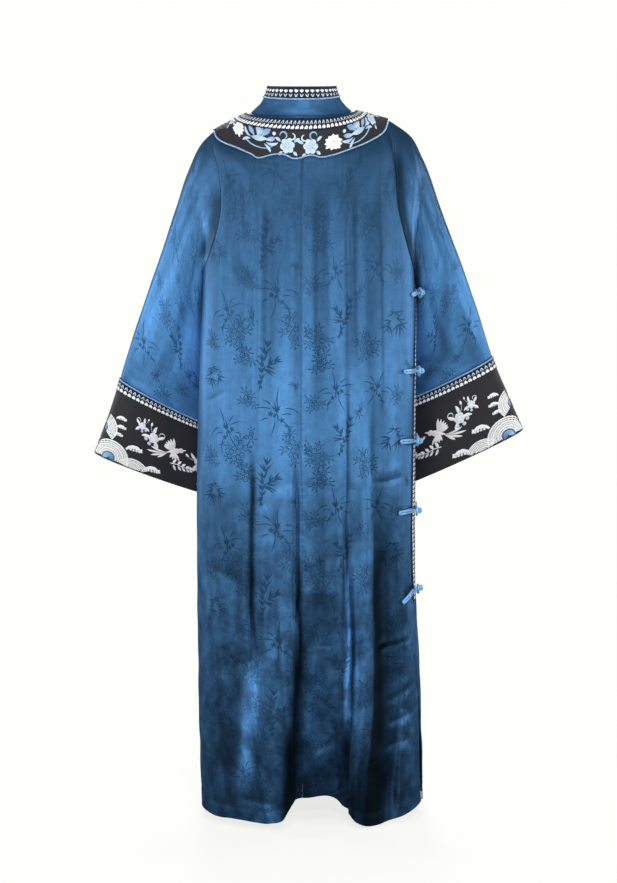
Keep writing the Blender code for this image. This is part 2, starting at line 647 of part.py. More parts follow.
def make_lapel_ribbon(ribbon):
    """The ribbon on the front panel beside the opening, from the yoke to the end of the side opening."""
    levels, points, normals = PANELS["front_main"]
    down = levels[(levels > LAPEL_RIBBON_LEVELS[0]) & (levels < LAPEL_RIBBON_LEVELS[1])]
    down = np.concatenate([[LAPEL_RIBBON_LEVELS[0]], down, [LAPEL_RIBBON_LEVELS[1]]])
    edges = [on_panel("front_main", column, down) for column in (0.0, 1.0)]
    points, normals = (np.stack(part, axis=1) for part in zip(*edges))
    lay("lapel_ribbon", points, normals, GAP, TRIM_WALL, ribbon, inset=GAP)


def frog_path(level, slant, tilt, along, lift):
    """Points over the cloth along a frog: along is the distance from the opening, less than 0 over the front."""
    level = np.array([float(level)])
    angle, down, over = opening_frame(level, slant)
    aim = over * math.cos(math.radians(tilt)) + down * math.sin(math.radians(tilt))
    points, normals = [], []
    for size, height in zip(along, lift):
        u, v = walk(body_point, angle, level, -aim, size)
        normal = normal_of(body_point, u, v, -1)
        points.append((body_point(u, v) + normal * height)[0])
        normals.append(normal[0])
    return np.array(points), np.array(normals), down[0]


def make_frog(name, level, slant, tilt, cord, under_loop, under_ball):
    """One closure, in two halves: the last two numbers are how thick the trim is below each half."""
    rows = table(FROG_COLUMNS, FROG_BALL_ROWS)
    # The strap bridges the hollow of any fold that it crosses.
    hollow = fold_depth(frog_path(level, slant, tilt, rows["along"], rows["lift"])[0][:, 0], level, FOLDS["back"])
    points, normals, down = frog_path(level, slant, tilt, rows["along"], rows["lift"] + GAP + under_ball + 0.3 * hollow)
    along = unit(np.gradient(points, axis=0))
    across = unit(np.cross(along, normals))
    up = np.cross(across, along)
    turn = np.radians(np.arange(6) * 60 + 30)[None, :, None]
    width, height = rows["half_width"][:, None, None], rows["half_height"][:, None, None]
    rings = points[:, None] + width * np.cos(turn) * across[:, None] + height * np.sin(turn) * up[:, None]
    make_tube(name + "_ball", rings, cord)

    # The loop runs up one side of its strap, round the neck of the ball and back down the other side.
    rise = FROG_CORD + under_loop + GAP
    out = np.array((FROG_STRAP, 30.0, 16.0, 6.0))
    lift = np.array((rise, rise, rise + 0.3, rise + 3.0))
    spine, lean, down = frog_path(level, slant, -tilt, -out, lift)
    apart = FROG_CORD + 0.4
    face = down
    neck = points[5] + unit(points[5] - points[4]) * -1.0
    bend = np.radians(np.array((-125.0, -80.0, -30.0, 30.0, 80.0, 125.0)))
    away = unit(spine[-1] - neck)
    round_neck_line = [neck + FROG_LOOP * (-away * math.cos(t) + face * math.sin(t)) for t in bend]
    line = np.array(
        [spine[i] - face * apart for i in range(4)] + round_neck_line + [spine[i] + face * apart for i in (3, 2, 1, 0)]
    )
    leans = np.concatenate([lean, np.repeat(lean[-1:], len(bend), axis=0), lean[::-1]])
    make_cord(name + "_loop", line, leans, cord, radius=FROG_CORD, sides=5)


def main():
    for leftover in list(bpy.data.objects):
        bpy.data.objects.remove(leftover)
    materials = {name: make_material(name) for name in MATERIALS}
    make_body(materials["satin"])
    make_sleeves(materials["satin"], materials["black_satin"], materials["ribbon"], materials["piping"])
    make_collar(materials["satin"], materials["ribbon"], materials["piping"])
    make_yoke(materials["black_satin"], materials["ribbon"], materials["piping"])
    make_lapel_ribbon(materials["ribbon"])
    ribbon_top = GAP + TRIM_WALL
    yoke_top = YOKE_LIFT + YOKE_WALL + ribbon_top
    for count, turns in enumerate(zip(SIDE_FROG_LEVELS, SIDE_FROG_SLANT, SIDE_FROG_TILT), 1):
        make_frog("side_frog_%d" % count, *turns, materials["frog"], ribbon_top, 0.0)
    sunk = 0.25  # the chest rounds away under the ends of these straps
    make_frog("chest_frog", CHEST_FROG_LEVEL, 0.0, 0.0, materials["frog"], ribbon_top - sunk, -sunk)
    make_frog("neck_frog", NECK_FROG_LEVEL, 0.0, 0.0, materials["frog"], yoke_top, yoke_top)


main()
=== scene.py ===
"""The look of a long cheongsam robe with wide sleeves, worn and filled out, with nobody in it.

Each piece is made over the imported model, from the same named sizes. Shapes are worked out in millimetres, and
add_piece turns them into metres. Body places are (span, level): span is the distance round the body from the
centre back or the centre front, and level the distance down it from the neck seam.
"""

import math

import bpy
import numpy as np
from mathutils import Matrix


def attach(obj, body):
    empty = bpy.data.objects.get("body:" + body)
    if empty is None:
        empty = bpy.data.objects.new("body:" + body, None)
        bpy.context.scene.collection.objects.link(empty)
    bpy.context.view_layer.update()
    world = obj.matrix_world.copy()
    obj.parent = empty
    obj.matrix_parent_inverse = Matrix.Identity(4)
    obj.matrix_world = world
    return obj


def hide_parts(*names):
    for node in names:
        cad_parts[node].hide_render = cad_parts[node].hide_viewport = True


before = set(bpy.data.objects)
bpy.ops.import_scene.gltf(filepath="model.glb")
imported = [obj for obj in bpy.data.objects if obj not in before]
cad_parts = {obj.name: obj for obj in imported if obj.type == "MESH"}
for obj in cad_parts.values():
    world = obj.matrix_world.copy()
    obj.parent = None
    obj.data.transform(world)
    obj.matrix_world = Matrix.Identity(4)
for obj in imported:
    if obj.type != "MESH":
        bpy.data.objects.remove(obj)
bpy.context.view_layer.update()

MM = 0.001

# Cloth and gaps, as in the solids
WALL = 1.8
TRIM_WALL = 1.0
YOKE_WALL = 1.2
COLLAR_WALL = 2.4
GAP = 0.3
PIPING = 1.4
TIP_LEVEL, ARMPIT_LEVEL, HEM_LEVEL = 66.0, 292.0, 1300.0
SLIT_LEVEL, SLIT_GAP = 905.0, 5.0

FORM_COLUMNS = ("level", "x_left", "x_right", "z_left", "z_right", "back", "front", "z_front", "power")
FORM_ROWS = (
    (0, 94, 91, 0, 3, 75, 80, -28, 1.00),
    (34, 132, 128, -16, -4, 94, 97, -62, 0.95),
    (76, 168, 167, -39, -18, 110, 110, -104, 0.90),
    (125, 174, 186, -84, -68, 118, 121, -150, 0.86),
    (190, 177, 196, -156, -148, 122, 129, -208, 0.82),
    (262, 180, 203, -242, -238, 124, 133, -268, 0.78),
    (330, 183, 207, -330, -330, 126, 134, -330, 0.75),
    (430, 188, 208, -430, -430, 126, 134, -430, 0.75),
    (570, 193, 209, -570, -570, 126, 133, -570, 0.75),
    (835, 196, 211, -835, -835, 127, 132, -835, 0.75),
    (1105, 193, 222, -1105, -1105, 130, 132, -1105, 0.75),
    (1340, 190, 229, -1340, -1340, 132, 133, -1340, 0.75),
)
NECK_RISE, RISE_FADE, DRAPE_POWER = 9.0, 280.0, 1.2
ARMHOLES = {
    "left": {"angle": -90.0, "back": 74.0, "front": 70.0},
    "right": {"angle": 90.0, "back": 62.0, "front": 70.0},
}

# The solids' folds, each a soft trough: x at its top and foot, level at its top and foot, half width, depth
BACK_FOLDS = (
    (-120, -108, 90, 300, 17, 9),
    (-52, -64, 95, 470, 19, 8),
    (44, 52, 100, 430, 19, 7),
    (112, 128, 100, 760, 21, 9),
    (150, 158, 660, 1420, 27, 20),
    (-90, -92, 790, 1060, 13, 9),
    (84, 84, 430, 1010, 13, -5),
    (-150, -128, 900, 1420, 24, 7),
)
FRONT_FOLDS = (
    (-70, -96, 180, 1400, 26, 11),
    (-20, -34, 420, 1420, 22, 9),
    (58, 40, 300, 1400, 26, 12),
    (120, 118, 520, 1420, 24, 13),
    (-140, -146, 600, 1420, 22, 10),
)
RECESS_COLUMNS = ("level", "depth", "left_x", "left_width", "right_x", "right_width")
RECESS_ROWS = (
    (860, 0, -4, 9, 60, 45),
    (940, 12, -5, 9, 66, 40),
    (1060, 26, -10, 11, 74, 30),
    (1180, 46, -20, 13, 80, 22),
    (1340, 66, -30, 11, 84, 18),
)
BACK_HEM = (
    (-196, -12), (-165, -4), (-117, -3), (-60, -2), (-36, -8), (-14, -32), (14, -36), (60, -34), (86, -12),
    (112, 4), (140, 8), (180, 0), (229, -18),
)
FRONT_HEM = ((-196, -12), (-120, 2), (-40, -5), (50, 3), (130, -6), (229, -18))

# Smaller creases that the solids leave out, written the same way, but with spans for x
CREASE_START = 92.0  # the level below the yoke where they begin
DEEPER_START, DEEPER = 560, 0.7  # the level where they get deeper, and by what share
# The slight unevenness of the cloth: its depths, and what each gains from one level to the other
SWAY, RIPPLE, DIMPLE = (0.4, 1.4), (0.12, 0.6), 0.9
UNEVEN_START, UNEVEN_END = 450, 1150
BACK_CREASES = (
    (-86, -85, 100, 560, 1.6, 1.5),
    (-140, -150, 150, 420, 9, 2.2),
    (-98, -96, 120, 420, 7, 1.6),
    (-74, -78, 110, 640, 8, -1.8),
    (-30, -34, 150, 380, 8, 1.2),
    (-14, -16, 170, 900, 9, -1.4),
    (20, 24, 110, 520, 10, -1.6),
    (78, 82, 120, 560, 9, -2.2),
    (92, 98, 130, 480, 6, 1.8),
    (150, 152, 90, 560, 7, -2.2),
    (176, 182, 140, 420, 8, 2.0),
    (196, 200, 360, 900, 10, 1.6),
    (-170, -176, 420, 880, 12, 1.8),
    (-128, -134, 520, 1180, 12, 1.6),
    (-112, -106, 700, 1380, 9, -2.4),
    (-60, -52, 560, 1000, 12, 1.8),
    (-44, -40, 820, 1300, 8, -1.6),
    (-10, -8, 600, 960, 4.5, 5.5),
    (40, 44, 560, 900, 12, 1.4),
    (79, 80, 640, 1080, 3.5, -4.5),
    (90, 92, 700, 1380, 7, 6.0),
    (122, 124, 520, 1300, 9, -3.0),
    (196, 206, 880, 1380, 12, 3.5),
    (222, 230, 700, 1250, 9, 2.5),
    (-190, -186, 900, 1340, 10, 2.2),
)
FRONT_CREASES = (
    (-150, -158, 340, 900, 9, 2.2),
    (-108, -114, 260, 800, 8, -1.8),
    (-44, -50, 200, 980, 9, 1.6),
    (-6, -2, 240, 1380, 7, 1.8),
    (24, 30, 200, 700, 9, -1.6),
    (84, 90, 260, 1200, 8, 2.2),
    (142, 150, 320, 1380, 9, 2.0),
    (-84, -78, 820, 1380, 9, -2.4),
    (64, 70, 760, 1380, 8, -2.2),
    (-178, -182, 560, 1250, 12, 2.2),
    (182, 176, 380, 1100, 11, 1.8),
)
# Creases across the cloth: span at each end, level at each end, half height, depth
BACK_CROSSES = (
    (150, 226, 978, 962, 3.4, 3.4),
    (146, 224, 968, 950, 6.0, -2.2),
    (-2, 66, 966, 958, 2.2, 1.2),
    (128, 206, 660, 652, 4.0, 3.0),
    (60, 120, 664, 668, 9.0, 0.8),
    (136, 200, 640, 634, 10.0, -1.6),
    (170, 236, 1080, 1050, 7.0, 3.4),
    (176, 240, 1122, 1100, 6.0, 3.0),
    (180, 238, 1165, 1150, 7.0, 3.2),
    (-190, -120, 820, 842, 12.0, 1.4),
    (-150, -60, 705, 690, 11.0, 0.9),
    (-196, -150, 468, 452, 4.0, 1.6),
    (-196, -140, 516, 488, 4.0, 1.4),
    (-180, -90, 1015, 985, 14.0, 1.5),
    (-100, -40, 985, 955, 12.0, 1.0),
    (-170, -80, 1255, 1262, 7.0, 1.6),
    (20, 76, 1060, 1100, 9.0, 2.0),
    (10, 70, 1180, 1150, 9.0, 2.2),
    (0, 60, 655, 668, 9.0, 1.0),
    (-80, 0, 668, 650, 9.0, 0.8),
)
FRONT_CROSSES = (
    (-190, -90, 640, 662, 5.0, 1.8),
    (60, 170, 700, 676, 5.0, 1.8),
    (-120, 20, 980, 1004, 6.0, 1.6),
    (40, 180, 1090, 1064, 6.0, 2.0),
    (-180, -60, 1190, 1170, 7.0, 2.0),
    (-60, 90, 420, 432, 5.0, 1.2),
    (90, 190, 400, 372, 5.0, 1.8),
)

# Painted shade and painted highlights in the cloth's colour: soft darker bands for the shade in folds, and
# paler ones for highlights where the share is less than 0: span at its top and foot, level at its top and foot,
# width to the left and to the right, share
BAND_POWER = 2.4  # how squarely a band ends at its sides
BACK_SHADES = (
    (179, 196, 70, 165, 4, 5, 0.62), (-212, -216, 84, 200, 5, 5, 0.5), (-176, -190, 80, 320, 12, 12, 0.40),
    (-61, -58, 90, 560, 12, 10, 0.24), (-10, -9, 90, 620, 9, 4, 0.18), (26, 24, 90, 600, 6, 14, 0.26),
    (96, 92, 90, 470, 14, 10, 0.32), (150, 136, 85, 480, 12, 16, 0.26), (-32, -34, 200, 760, 14, 14, -0.10),
    (56, 58, 200, 640, 14, 14, -0.10), (-134, -132, 260, 700, 26, 26, -0.08),
    (104, 106, 380, 930, 21, 22, -0.14), (166, 170, 320, 640, 20, 20, -0.10),
    (134, 133, 440, 800, 2.5, 20, 0.40), (-92, -96, 560, 1020, 6.2, 6.5, 0.97),
    (-100, -102, 650, 1090, 50, 3, 0.20), (-46, -48, 790, 1060, 34, 38, 0.14),
    (-150, -152, 640, 900, 50, 44, 0.26), (-176, -180, 900, 1600, 56, 66, 0.26),
    (42, 42, 610, 980, 40, 38, 0.36), (81, 82, 440, 880, 1.8, 3.5, 0.62),
    (85, 86, 780, 1150, 4.0, 3.6, -4.6), (92, 95, 780, 1130, 2.5, 6, 0.66),
    (138, 150, 600, 1600, 3.5, 40, 0.90), (152, 162, 700, 1700, 15, 28, 0.78),
    (110, 112, 740, 1100, 15, 16, -0.45), (215, 212, 640, 1600, 30, 34, 0.36),
    (-3, -6, 780, 1080, 5, 6, 0.94), (-4, -46, 920, 1270, 13, 22, 0.97),
    (-30, -74, 1050, 1560, 30, 50, 0.985), (40, 44, 960, 1190, 26, 24, -0.35),
    (18, 24, 1130, 1700, 60, 60, 0.44), (84, 104, 1060, 1500, 14, 11, 0.86),
    (118, 122, 1120, 1600, 18, 24, 0.55), (150, 176, 1090, 1800, 52, 54, 0.82),
    (-100, -152, 985, 1265, 14, 16, -3.4), (-178, -176, 1060, 1360, 30, 40, 0.42),
    (-172, -168, 1190, 1330, 16, 20, -0.8), (-112, -104, 1240, 1380, 34, 30, -0.7),
    (-190, -190, 640, 860, 30, 50, 0.20), (12, 10, 1080, 1160, 8, 9, -0.9),
    (30, 36, 1120, 1220, 12, 14, -1.2), (216, 222, 1090, 1130, 14, 12, -1.6),
    (214, 226, 1140, 1176, 12, 14, -1.4), (226, 230, 860, 1000, 12, 14, -0.9),
    (-205, -205, 950, 1060, 12, 14, -0.4), (232, 236, 700, 850, 12, 10, -0.5),
)
FRONT_SHADES = (
    (-176, -190, 80, 320, 12, 12, 0.40), (-120, -104, 100, 460, 16, 14, 0.26),
    (60, 52, 110, 420, 8, 16, 0.26), (-30, -26, 300, 660, 14, 5, 0.24), (104, 98, 260, 680, 3, 16, 0.36),
    (-66, -60, 360, 720, 16, 14, -0.14), (20, 24, 340, 760, 16, 18, -0.12),
    (-150, -148, 560, 1600, 3, 40, 0.78), (-86, -92, 640, 1080, 2.5, 4, 0.66),
    (-20, -44, 760, 1440, 8, 14, 0.88), (46, 40, 640, 1200, 3, 5, 0.55), (122, 112, 600, 1600, 34, 3, 0.82),
    (-118, -128, 940, 1290, 10, 12, -1.3), (8, 4, 960, 1290, 12, 13, -0.7), (84, 86, 900, 1180, 9, 8, -0.9),
    (176, 172, 660, 1080, 30, 34, 0.28), (196, 190, 1010, 1520, 22, 30, 0.5),
    (160, 158, 960, 1200, 10, 8, -1.1), (-204, -208, 960, 1120, 14, 12, -0.8),
    (-60, -56, 860, 1160, 10, 12, -0.3), (10, 0, 1130, 1700, 60, 60, 0.55),
    (44, 44, 900, 1090, 2.6, 2.6, -1.2), (-190, -186, 640, 900, 30, 40, 0.30),
    (200, 204, 1200, 1300, 14, 16, -0.8),
)
# Painted light: how bright the body's satin is painted, by level, with painted shade at the shoulders
BODY_LIGHT = (
    (0, 90, 170, 250, 330, 420, 500, 700, 1000, 1340),
    (0.36, 0.36, 0.42, 0.52, 0.62, 0.78, 0.88, 0.86, 0.95, 0.95),
)
# Painted light: how bright the sleeves' satin is painted, by the distance below the neck
SLEEVE_LIGHT = {
    "left": ((60, 110, 190, 300, 420, 480, 560), (0.62, 0.70, 1.26, 1.62, 1.74, 1.34, 1.24)),
    "right": ((60, 110, 190, 300, 400, 460, 560), (0.46, 0.54, 0.88, 1.48, 1.36, 1.06, 1.00)),
}
# Painted shade and light on the sleeves: painted shade beside the body where the sleeve turns away, a narrow
# painted shade line by the armhole, a darker outer side and paler sides of the inner line
SLEEVE_DARK = {"left": (21, 90, 275), "right": (15, 30, 345)}  # the dark beside the body: width, top and foot
SLEEVE_DARKEST = 0.86
ARMHOLE_SHADE_LINE = 5, 200, 430, 0.6  # a narrow dark line beside the body: width, top, foot and share
OUTER_SIDE = 42, 0.36  # the darker outer side of a sleeve: half its width in degrees, and share
INNER_SIDE = 65, 45, 330, 0.3  # paler to each side of the inner line: turn from it, width, top and share
# Painted shade and highlights in bands over the sleeves, with turn for span and reach for level
SLEEVE_SHADES = {
    "left": (
        (70, 40, 250, 470, 9, 12, 0.14), (6, 8, 330, 560, 20, 24, 0.30), (96, 112, 330, 500, 12, 16, 0.16),
        (40, 62, 60, 240, 16, 20, 0.12), (232, 246, 120, 470, 9, 9, 0.28), (286, 300, 60, 400, 9, 9, 0.24),
        (262, 270, 180, 470, 8, 8, -0.16),
    ),
    "right": (
        (44, 92, 215, 470, 11, 15, 0.40), (84, 116, 330, 500, 8, 11, 0.26), (30, 44, 320, 500, 9, 14, 0.18),
        (70, 60, 120, 330, 14, 16, -0.14), (228, 244, 120, 470, 9, 9, 0.28),
        (282, 298, 60, 400, 9, 9, 0.24), (258, 268, 180, 470, 8, 8, -0.16),
    ),
}

SIDE_OPENING_LEVEL = 317.0
OPENING_ROWS = (
    (0, 180), (40, 173), (90, 160), (150, 144), (205, 129), (250, 118), (285, 104), (317, 90), (345, 86),
    (400, 83), (1340, 83),
)

SLEEVE_COLUMNS = ("reach", "out_x", "out_y", "out_z", "in_x", "in_y", "in_z", "back", "front")
SLEEVE_ROWS = {
    "left": (
        (0, -161, 0, -27, -180, 0, -273, 74, 70),
        (30, -184, 0, -50, -185, 22, -279, 66, 66),
        (76, -208, 2, -100, -178, 58, -316, 54, 62),
        (141, -230, 8, -164, -180, 82, -380, 46, 58),
        (272, -271, 24, -289, -174, 106, -467, 42, 52),
        (400, -313, 40, -412, -170, 121, -551, 40, 46),
        (483, -338, 50, -489, -168, 130, -590, 38, 43),
        (560, -362, 50, -560, -169, 135, -656, 37, 41),
        (638, -389, 50, -630, -172, 140, -727, 36, 40),
    ),
    "right": (
        (0, 160, 0, -11, 204, 0, -271, 62, 70),
        (40, 200, 0, -39, 209, 22, -277, 60, 66),
        (78, 220, 2, -76, 204, 58, -312, 52, 62),
        (179, 256, 12, -173, 203, 86, -388, 44, 56),
        (290, 294, 26, -277, 194, 108, -460, 42, 52),
        (400, 329, 40, -379, 183, 124, -517, 40, 46),
        (474, 352, 50, -448, 180, 132, -546, 38, 43),
        (550, 382, 50, -516, 176, 137, -629, 37, 41),
        (627, 413, 50, -586, 174, 141, -715, 36, 40),
    ),
}
# How much of its folds and of a slight wave a sleeve shows, and how much flatter its cuff is
SLEEVE_FOLD_SHARE, SLEEVE_SWAY, CUFF_FLATNESS = 0.55, 0.4, 0.55
SLEEVE_END = {"left": 483.0, "right": 474.0}
CUFF_END = {"left": 638.0, "right": 627.0}
SLEEVE_POWER, SHOULDER_FADE = 0.85, 170.0
CUFF_RIBBON, CUFF_PIPING_ROOM = 19.0, 4.6
# Soft folds of the sleeves: turn at each end, reach at each end, half width in degrees, depth
SLEEVE_FOLDS = {
    "left": (
        (62, 30, 20, 330, 9, 4.2),
        (100, 78, 60, 470, 10, 3.6),
        (128, 116, 110, 470, 8, 3.0),
        (40, 14, 110, 470, 8, 2.6),
        (150, 160, 30, 300, 9, 3.2),
        (80, 52, 200, 480, 7, -2.2),
        (215, 230, 60, 470, 10, 3.6),
        (262, 280, 40, 470, 11, 4.0),
        (305, 322, 60, 440, 9, 3.2),
        (240, 252, 180, 480, 7, -2.2),
    ),
    "right": (
        (66, 36, 20, 340, 9, 4.2),
        (98, 72, 60, 470, 10, 3.8),
        (126, 110, 90, 460, 8, 3.0),
        (42, 12, 120, 470, 8, 2.6),
        (150, 158, 30, 300, 9, 3.2),
        (84, 58, 180, 470, 7, -2.2),
        (212, 232, 60, 460, 10, 3.6),
        (260, 276, 40, 470, 11, 4.0),
        (300, 320, 70, 440, 9, 3.2),
        (238, 250, 180, 470, 7, -2.2),
    ),
}

COLLAR_COLUMNS = ("height", "x_left", "x_right", "back", "front", "z_left", "z_right", "z_back", "z_front")
COLLAR_ROWS = (
    (0, 93.0, 90.0, 74.0, 79.0, 0.7, 3.7, 0.7, -27.0),
    (9, 85, 82, 70, 75, 8, 10, 7, -20),
    (20, 77, 75, 66, 70, 16, 18, 15, -11),
    (36, 68, 67, 62.5, 65, 31, 32, 31, 3),
    (60, 62, 61, 60, 61, 49, 49, 52, 23),
)
COLLAR_TOP, COLLAR_RIBBON_FOOT, COLLAR_END_ANGLE = 60.0, 36.0, 178.2

YOKE_TOP = 4.5
YOKE_ROWS = (
    (-184, 84), (-168, 84), (-158, 82), (-150, 76), (-142, 81), (-134, 80), (-122, 73), (-106, 68),
    (-98, 64.5), (-90, 64), (-82, 64.5), (-74, 68), (-52, 70), (-40, 74), (-31, 78), (-25, 71), (-18, 67.5),
    (-10, 70), (-3, 74), (3, 73), (8, 69), (14, 69.5), (21, 73), (32, 72), (44, 69), (60, 68), (74, 68),
    (82, 64.5), (90, 64), (98, 64.5), (106, 68), (122, 73), (134, 80), (142, 81), (150, 76), (160, 84),
)
YOKE_RIBBON, YOKE_LIFT = 20.0, 1.1
LAPEL_RIBBON, LAPEL_RIBBON_LEVELS = 20.0, (92.0, 895.0)

FROG_STRAP, FROG_CORD, FROG_LOOP = 44.0, 2.1, 8.0
SIDE_FROG_LEVELS = (322, 461, 590, 720, 868)
SIDE_FROG_SLANT = (-32.0, 0.0, 0.0, 0.0, 0.0)
SIDE_FROG_TILT = (0.0, 0.0, 4.0, 2.0, -26.0)
CHEST_FROG_LEVEL, NECK_FROG_LEVEL = 150.0, 14.0


def table(columns, rows):
    """A short table as one array for each named column."""
    return dict(zip(columns, np.array(rows, float).T))


def smooth(x, xs, ys):
    """A smooth curve through the table's points, held level outside them."""
    xs = np.asarray(xs, float)
    ys = np.asarray(ys, float)
    slope = np.gradient(ys, xs)
    x = np.clip(x, xs[0], xs[-1])
    i = np.clip(np.searchsorted(xs, x, side="right") - 1, 0, len(xs) - 2)
    step = xs[i + 1] - xs[i]
    t = (x - xs[i]) / step
    rise = ys[i + 1] - ys[i]
    bend = (1 - t) * (slope[i] * step - rise) - t * (slope[i + 1] * step - rise)
    return ys[i] + t * rise + t * (1 - t) * bend


def ease(t):
    """0 below 0, 1 above 1, and a soft step between."""
    t = np.clip(t, 0.0, 1.0)
    return t * t * (3 - 2 * t)


def unit(v):
    return v / np.maximum(np.linalg.norm(v, axis=-1, keepdims=True), 1e-12)


FORM = table(FORM_COLUMNS, FORM_ROWS)
RECESS = table(RECESS_COLUMNS, RECESS_ROWS)
OPENING = table(("level", "angle"), OPENING_ROWS)
SLEEVES = {side: table(SLEEVE_COLUMNS, rows) for side, rows in SLEEVE_ROWS.items()}
COLLAR = table(COLLAR_COLUMNS, COLLAR_ROWS)


def paired(first, second):
    """Two arrays of numbers, brought to one shape."""
    return np.broadcast_arrays(np.asarray(first, float), np.asarray(second, float))


def lengths(line):
    """How far along a line each of its points is."""
    return np.concatenate([[0], np.cumsum(np.linalg.norm(np.diff(line, axis=0), axis=1))])


def row_at(rows, at):
    """Each other column of a table, at a value of its first one."""
    first, *others = rows
    return {name: smooth(at, rows[first], rows[name]) for name in others}


def bell(aside, width, power=2):
    """1 in the middle, and softly less over a width on each side."""
    return np.exp(-(np.abs(aside / width) ** power))


def ends(share, steep=4):
    """A run that starts and ends softly: 0 at shares 0 and 1, and 1 between."""
    return ease(share * steep) * ease((1 - share) * steep)


def troughs(across, along, rows):
    """How far the cloth lies inside the plain form, from rows of soft folds."""
    depth = np.zeros(np.broadcast(across, along).shape)
    for at_top, at_end, top, end, half_width, deep in rows:
        share = np.clip((along - top) / (end - top), 0, 1)
        middle = at_top + (at_end - at_top) * share
        depth = depth + deep * ends(share) * bell(across - middle, half_width)
    return depth


def light_of(across, along, rows):
    """How bright the cloth is painted: painted shade from rows of darker bands, and painted highlights from
    paler ones with a share less than 0.
    """
    light = np.ones(np.broadcast(across, along).shape)
    for at_top, at_end, top, end, left_width, right_width, share in rows:
        down = np.clip((along - top) / (end - top), 0, 1)
        aside = across - (at_top + (at_end - at_top) * down)
        band = ends(down) * bell(aside, np.where(aside < 0, left_width, right_width), BAND_POWER)
        light = light * (1 - share * band)
    return light


def crosses(span, level, rows):
    """The depth of creases that run across the cloth, each a little waved."""
    depth = np.zeros(np.broadcast(span, level).shape)
    for s_from, s_to, level_from, level_to, half_height, deep in rows:
        share = (span - s_from) / (s_to - s_from)
        middle = level_from + (level_to - level_from) * share + 0.06 * half_height * np.sin(span * 0.13)
        depth = depth + deep * ends(share, 3.5) * bell(level - middle, half_height)
    return depth


def recess_depth(x, level):
    """The flat recess between the two lobes of the back hem, deeper towards the hem."""
    row = row_at(RECESS, level)
    left = ease(0.5 + (x - row["left_x"]) / row["left_width"] / 2)
    right = ease(0.5 - (x - row["right_x"]) / row["right_width"] / 2)
    return row["depth"] * left * right


def body_point(angle, level):
    """A point of the body's plain form: angle is 0 at the centre back, 90 at the right side, 180 in front."""
    angle, level = paired(angle, level)
    row = row_at(FORM, level)
    side, behind = np.sin(np.radians(angle)), np.cos(np.radians(angle))
    half_width = np.where(side > 0, row["x_right"], row["x_left"])
    depth = np.where(behind > 0, row["back"], row["front"])
    z_side = np.where(side > 0, row["z_right"], row["z_left"])
    z_middle = np.where(behind > 0, -level, row["z_front"])
    x = half_width * side
    y = -np.sign(behind) * depth * np.abs(behind) ** row["power"]
    rise = NECK_RISE * (1 - ease(level / RISE_FADE))
    z = z_side + (z_middle - z_side) * np.abs(behind) ** DRAPE_POWER + rise
    inward = np.where(
        behind > 0, troughs(x, level, BACK_FOLDS) + recess_depth(x, level), troughs(x, level, FRONT_FOLDS)
    )
    inward = inward * ease(np.abs(behind) / 0.45)
    return np.stack([x, y + np.sign(behind) * inward, z], axis=-1)


def armhole_angle(side, level, facing):
    """Where a panel ends at the armhole: an ellipse as seen from the side."""
    hole = ARMHOLES[side]
    t = np.clip((level - TIP_LEVEL) / (ARMPIT_LEVEL - TIP_LEVEL), 0, 1)
    reach = hole[facing] * 2 * np.sqrt(t * (1 - t))
    depth = smooth(level, FORM["level"], FORM[facing])
    power = smooth(level, FORM["level"], FORM["power"])
    turn = np.degrees(np.arccos((reach / depth) ** (1 / power)))
    return turn if facing == "back" else 180 - turn


def slit(level):
    """Half the gap between the free edges of a side slit, in degrees."""
    return 0.5 * SLIT_GAP * ease((level - SLIT_LEVEL) / (HEM_LEVEL - SLIT_LEVEL))


def opening_angle(level):
    """The opening's path, which stays clear of the armhole until it reaches the armpit."""
    path = smooth(level, OPENING["level"], OPENING["angle"])
    clear = armhole_angle("right", level, "front") + 2.0 * ease((ARMPIT_LEVEL - level) / 20)
    return np.where(level < ARMPIT_LEVEL, np.maximum(path, clear), path)


def hem_drop(angle):
    """How far the hem hangs below the hem level."""
    x = body_point(angle, HEM_LEVEL + 0 * angle)[..., 0]
    back = np.cos(np.radians(angle)) > 0
    return np.where(back, smooth(x, *zip(*BACK_HEM)), smooth(x, *zip(*FRONT_HEM)))


def normal_of(surface, u, v, outside, du=0.4, dv=0.4):
    """Outward unit normals of a surface, from small steps each way."""
    along_u = surface(u + du, v) - surface(u - du, v)
    along_v = surface(u, v + dv) - surface(u, np.maximum(v - dv, 0))
    return unit(np.cross(along_u, along_v)) * outside


def bilinear(grid, row, column):
    """Values of a grid at parts of its rows and columns."""
    i = np.clip(row.astype(int), 0, grid.shape[0] - 2)
    j = np.clip(column.astype(int), 0, grid.shape[1] - 2)
    t, s = np.clip(row - i, 0, 1), np.clip(column - j, 0, 1)
    upper = grid[i, j] * (1 - s) + grid[i, j + 1] * s
    lower = grid[i + 1, j] * (1 - s) + grid[i + 1, j + 1] * s
    return upper * (1 - t) + lower * t


